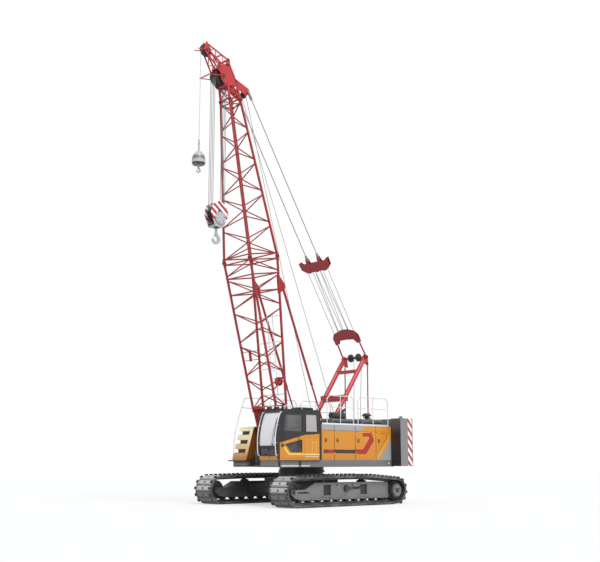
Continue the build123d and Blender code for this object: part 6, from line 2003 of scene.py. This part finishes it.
@dataclass
class HookDressing:
    """Sheave guards, latches, nuts and collars of both hooks."""

    block_x: float = 0.0
    block_z: float = 0.0
    ball_x: float = 0.0
    ball_z: float = 0.0

    def __post_init__(self) -> None:
        """Take the places of both hooks from the frame."""
        low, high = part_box("block_sheaves")
        self.block_x, self.block_z = (low.x + high.x) / 2 - SLEW_X, (low.z + high.z) / 2
        low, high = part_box("ball_weight")
        self.ball_x, self.ball_z = low.x - SLEW_X + 0.230, low.z + 0.480

    def build(self) -> None:
        """Add the pieces of both hooks."""
        self.block()
        self.ball()

    def latch(self, work: Workpiece, x: float, z: float, size: float) -> None:
        """Spring latch across a hook's mouth, with its pin.

        Args:
            work: the mesh it joins.
            x: place of the hook's shank.
            z: top of the hook.
            size: the hook's outer radius.
        """
        root = at(x + 0.20 * size, 0, z - 1.20 * size)
        tip = at(x + 1.02 * size, 0, z - 1.80 * size)
        run = tip - root
        across = Vector((0, 0.16 * size, 0))
        work.slab(root - across / 2, run, across, Vector((-run.z, 0, run.x)).normalized() * 0.035 * size)
        work.rod(root - Vector((0, 0.26 * size, 0)), root + Vector((0, 0.26 * size, 0)), 0.05 * size, 12)
        work.rod(root + Vector((0, -0.14 * size, 0)), root + Vector((0, 0.14 * size, 0)), 0.09 * size, 14)

    def block(self) -> None:
        """Cheek bolts, pin caps and cross bars of the main block, and its hook's latch."""
        x, z = self.block_x, self.block_z
        work = Workpiece()
        for side in (-1, 1):
            out = ACROSS * side
            face = side * 0.200
            work.axle(x, z, face - side * 0.003, face + side * 0.020, 0.085, 24, bevel=0.004)
            work.bolt_circle(at(x, face + side * 0.019, z), out, 0.058, 6, 0.009)
            work.bolt_circle(at(x, side * 0.250, z - 0.190), out, 0.150, 6, 0.012)
            for bolt_x, bolt_z in ((-0.27, 0.20), (0.27, 0.20), (-0.31, -0.06), (0.31, -0.06), (0.0, 0.36)):
                work.bolt(at(x + bolt_x, face, z + bolt_z), out, 0.012)
        for bar_x, bar_z in ((-0.315, 0.02), (0.315, 0.02), (-0.20, -0.40), (0.20, -0.40)):
            work.axle(x + bar_x, z + bar_z, -0.178, 0.178, 0.018, 12)
        work.finish("block_fasteners", Finish.HUB, Body.BLOCK)
        gear = Workpiece()
        self.latch(gear, x, z - 0.560, 0.170)
        gear.post(x, 0, z - 0.520, z - 0.485, 0.082, 24, bevel=0.004)
        gear.finish("main_hook_latch", Finish.HUB, Body.HOOK)

    def ball(self) -> None:
        """Socket clip and collar of the auxiliary weight, and its hook's latch."""
        x, z = self.ball_x, self.ball_z
        work = Workpiece()
        for lift in (0.30, 0.38):
            work.axle(x, z + lift, -0.026, 0.026, 0.013, 10)
            work.box((x - 0.024, -0.020, z + lift - 0.010), (x + 0.024, 0.020, z + lift + 0.010), 0.004)
        work.ring(at(x, 0, z + 0.255), 0.033, 0.006, UP, 20, 6)
        work.ring(at(x, 0, z - 0.200), 0.207, 0.006, UP, 36, 6)
        work.finish("ball_socket_clips", Finish.HUB, Body.BALL)
        gear = Workpiece()
        self.latch(gear, x, z - 0.500, 0.090)
        gear.finish("ball_hook_latch", Finish.HUB, Body.BALL_HOOK)


# Stage, light and camera

@dataclass
class Studio:
    """Pale floor, soft light and the camera at the photograph's viewpoint."""

    camera_place: Triple = (23.071, 25.003, 1.462)
    heading: float = 42.612
    pitch: float = 10.729
    focal_pixels: float = 951.131
    image_width: int = 600
    sensor: float = 36.0
    floor_radius: float = 160.0
    floor_grey: Triple = (0.86, 0.86, 0.86)
    floor_glow: float = 0.55
    sky: Triple = (0.93, 0.96, 1.0)
    sky_strength: float = 0.62

    def build(self) -> None:
        """Lay the floor, light the world and set the camera."""
        self.floor()
        self.world()
        self.lamps()
        self.camera()

    def floor(self) -> None:
        """A round pale floor that shows white to the camera and keeps the shadow."""
        mesh = bmesh.new()
        bmesh.ops.create_circle(mesh, cap_ends=True, segments=96, radius=self.floor_radius)
        data = bpy.data.meshes.new("floor")
        mesh.to_mesh(data)
        mesh.free()
        floor = bpy.data.objects.new("floor", data)
        bpy.context.scene.collection.objects.link(floor)
        material = bpy.data.materials.new("floor")
        material.use_nodes = True
        tree = Tree(material.node_tree)
        matte = tree.node("ShaderNodeBsdfDiffuse", {}, {"Color": (*self.floor_grey, 1.0)})
        glow = tree.node("ShaderNodeEmission", {}, {"Color": (1.0, 1.0, 1.0, 1.0)})
        mix = tree.node("ShaderNodeMixShader", {}, {0: tree.seen() * self.floor_glow, 1: matte, 2: glow})
        tree.node("ShaderNodeOutputMaterial", {}, {0: mix}, None)
        data.materials.append(material)

    def world(self) -> None:
        """Soft light from all round, and a white background for the camera."""
        world = bpy.data.worlds.new("studio")
        bpy.context.scene.world = world
        world.use_nodes = True
        tree = Tree(world.node_tree)
        white = tree.node("ShaderNodeBackground", {}, {"Color": (1.0, 1.0, 1.0, 1.0), "Strength": 1.0})
        soft = tree.node("ShaderNodeBackground", {},
                         {"Color": (*self.sky, 1.0), "Strength": self.sky_strength})
        mix = tree.node("ShaderNodeMixShader", {}, {0: tree.seen(), 1: soft, 2: white})
        tree.node("ShaderNodeOutputWorld", {}, {0: mix}, None)

    def lamps(self) -> None:
        """A broad high key lamp and a weak side fill."""
        for name, heading, energy, angle in (("key", Vector((-0.22, -0.80, -1.0)), 2.0, 25.0),
                                             ("fill", Vector((-0.25, -1.0, -0.35)), 0.7, 60.0)):
            lamp = bpy.data.lights.new(name, "SUN")
            lamp.energy = energy
            lamp.angle = math.radians(angle)
            holder = bpy.data.objects.new(name, lamp)
            holder.rotation_euler = heading.to_track_quat("-Z", "Y").to_euler()
            bpy.context.scene.collection.objects.link(holder)

    def camera(self) -> None:
        """The camera, as measured from the photograph."""
        turn, rise = math.radians(self.heading), math.radians(self.pitch)
        look = Vector((-math.sin(turn) * math.cos(rise), -math.cos(turn) * math.cos(rise), math.sin(rise)))
        data = bpy.data.cameras.new("camera")
        data.sensor_fit = "HORIZONTAL"
        data.sensor_width = self.sensor
        data.lens = self.focal_pixels * self.sensor / self.image_width
        data.clip_end = 500.0
        camera = bpy.data.objects.new("camera", data)
        camera.location = at(*self.camera_place)
        camera.rotation_euler = look.to_track_quat("-Z", "Y").to_euler()
        bpy.context.scene.collection.objects.link(camera)
        bpy.context.scene.camera = camera


def main() -> None:
    """Build the crane's dressing and the stage."""
    logging.basicConfig(level=logging.INFO, format="%(name)s: %(message)s")
    scene = bpy.context.scene
    scene.view_settings.view_transform = "Standard"
    dress_nodes()
    for assembly in (CabDressing, SeatDressing, HoistRopes, HouseDressing, DeckDressing, TrackDressing,
                     BoomDressing, HeadFrame, GantryDressing, HookDressing):
        assembly().build()
    Studio().build()


if __name__ == "__main__":
    main()
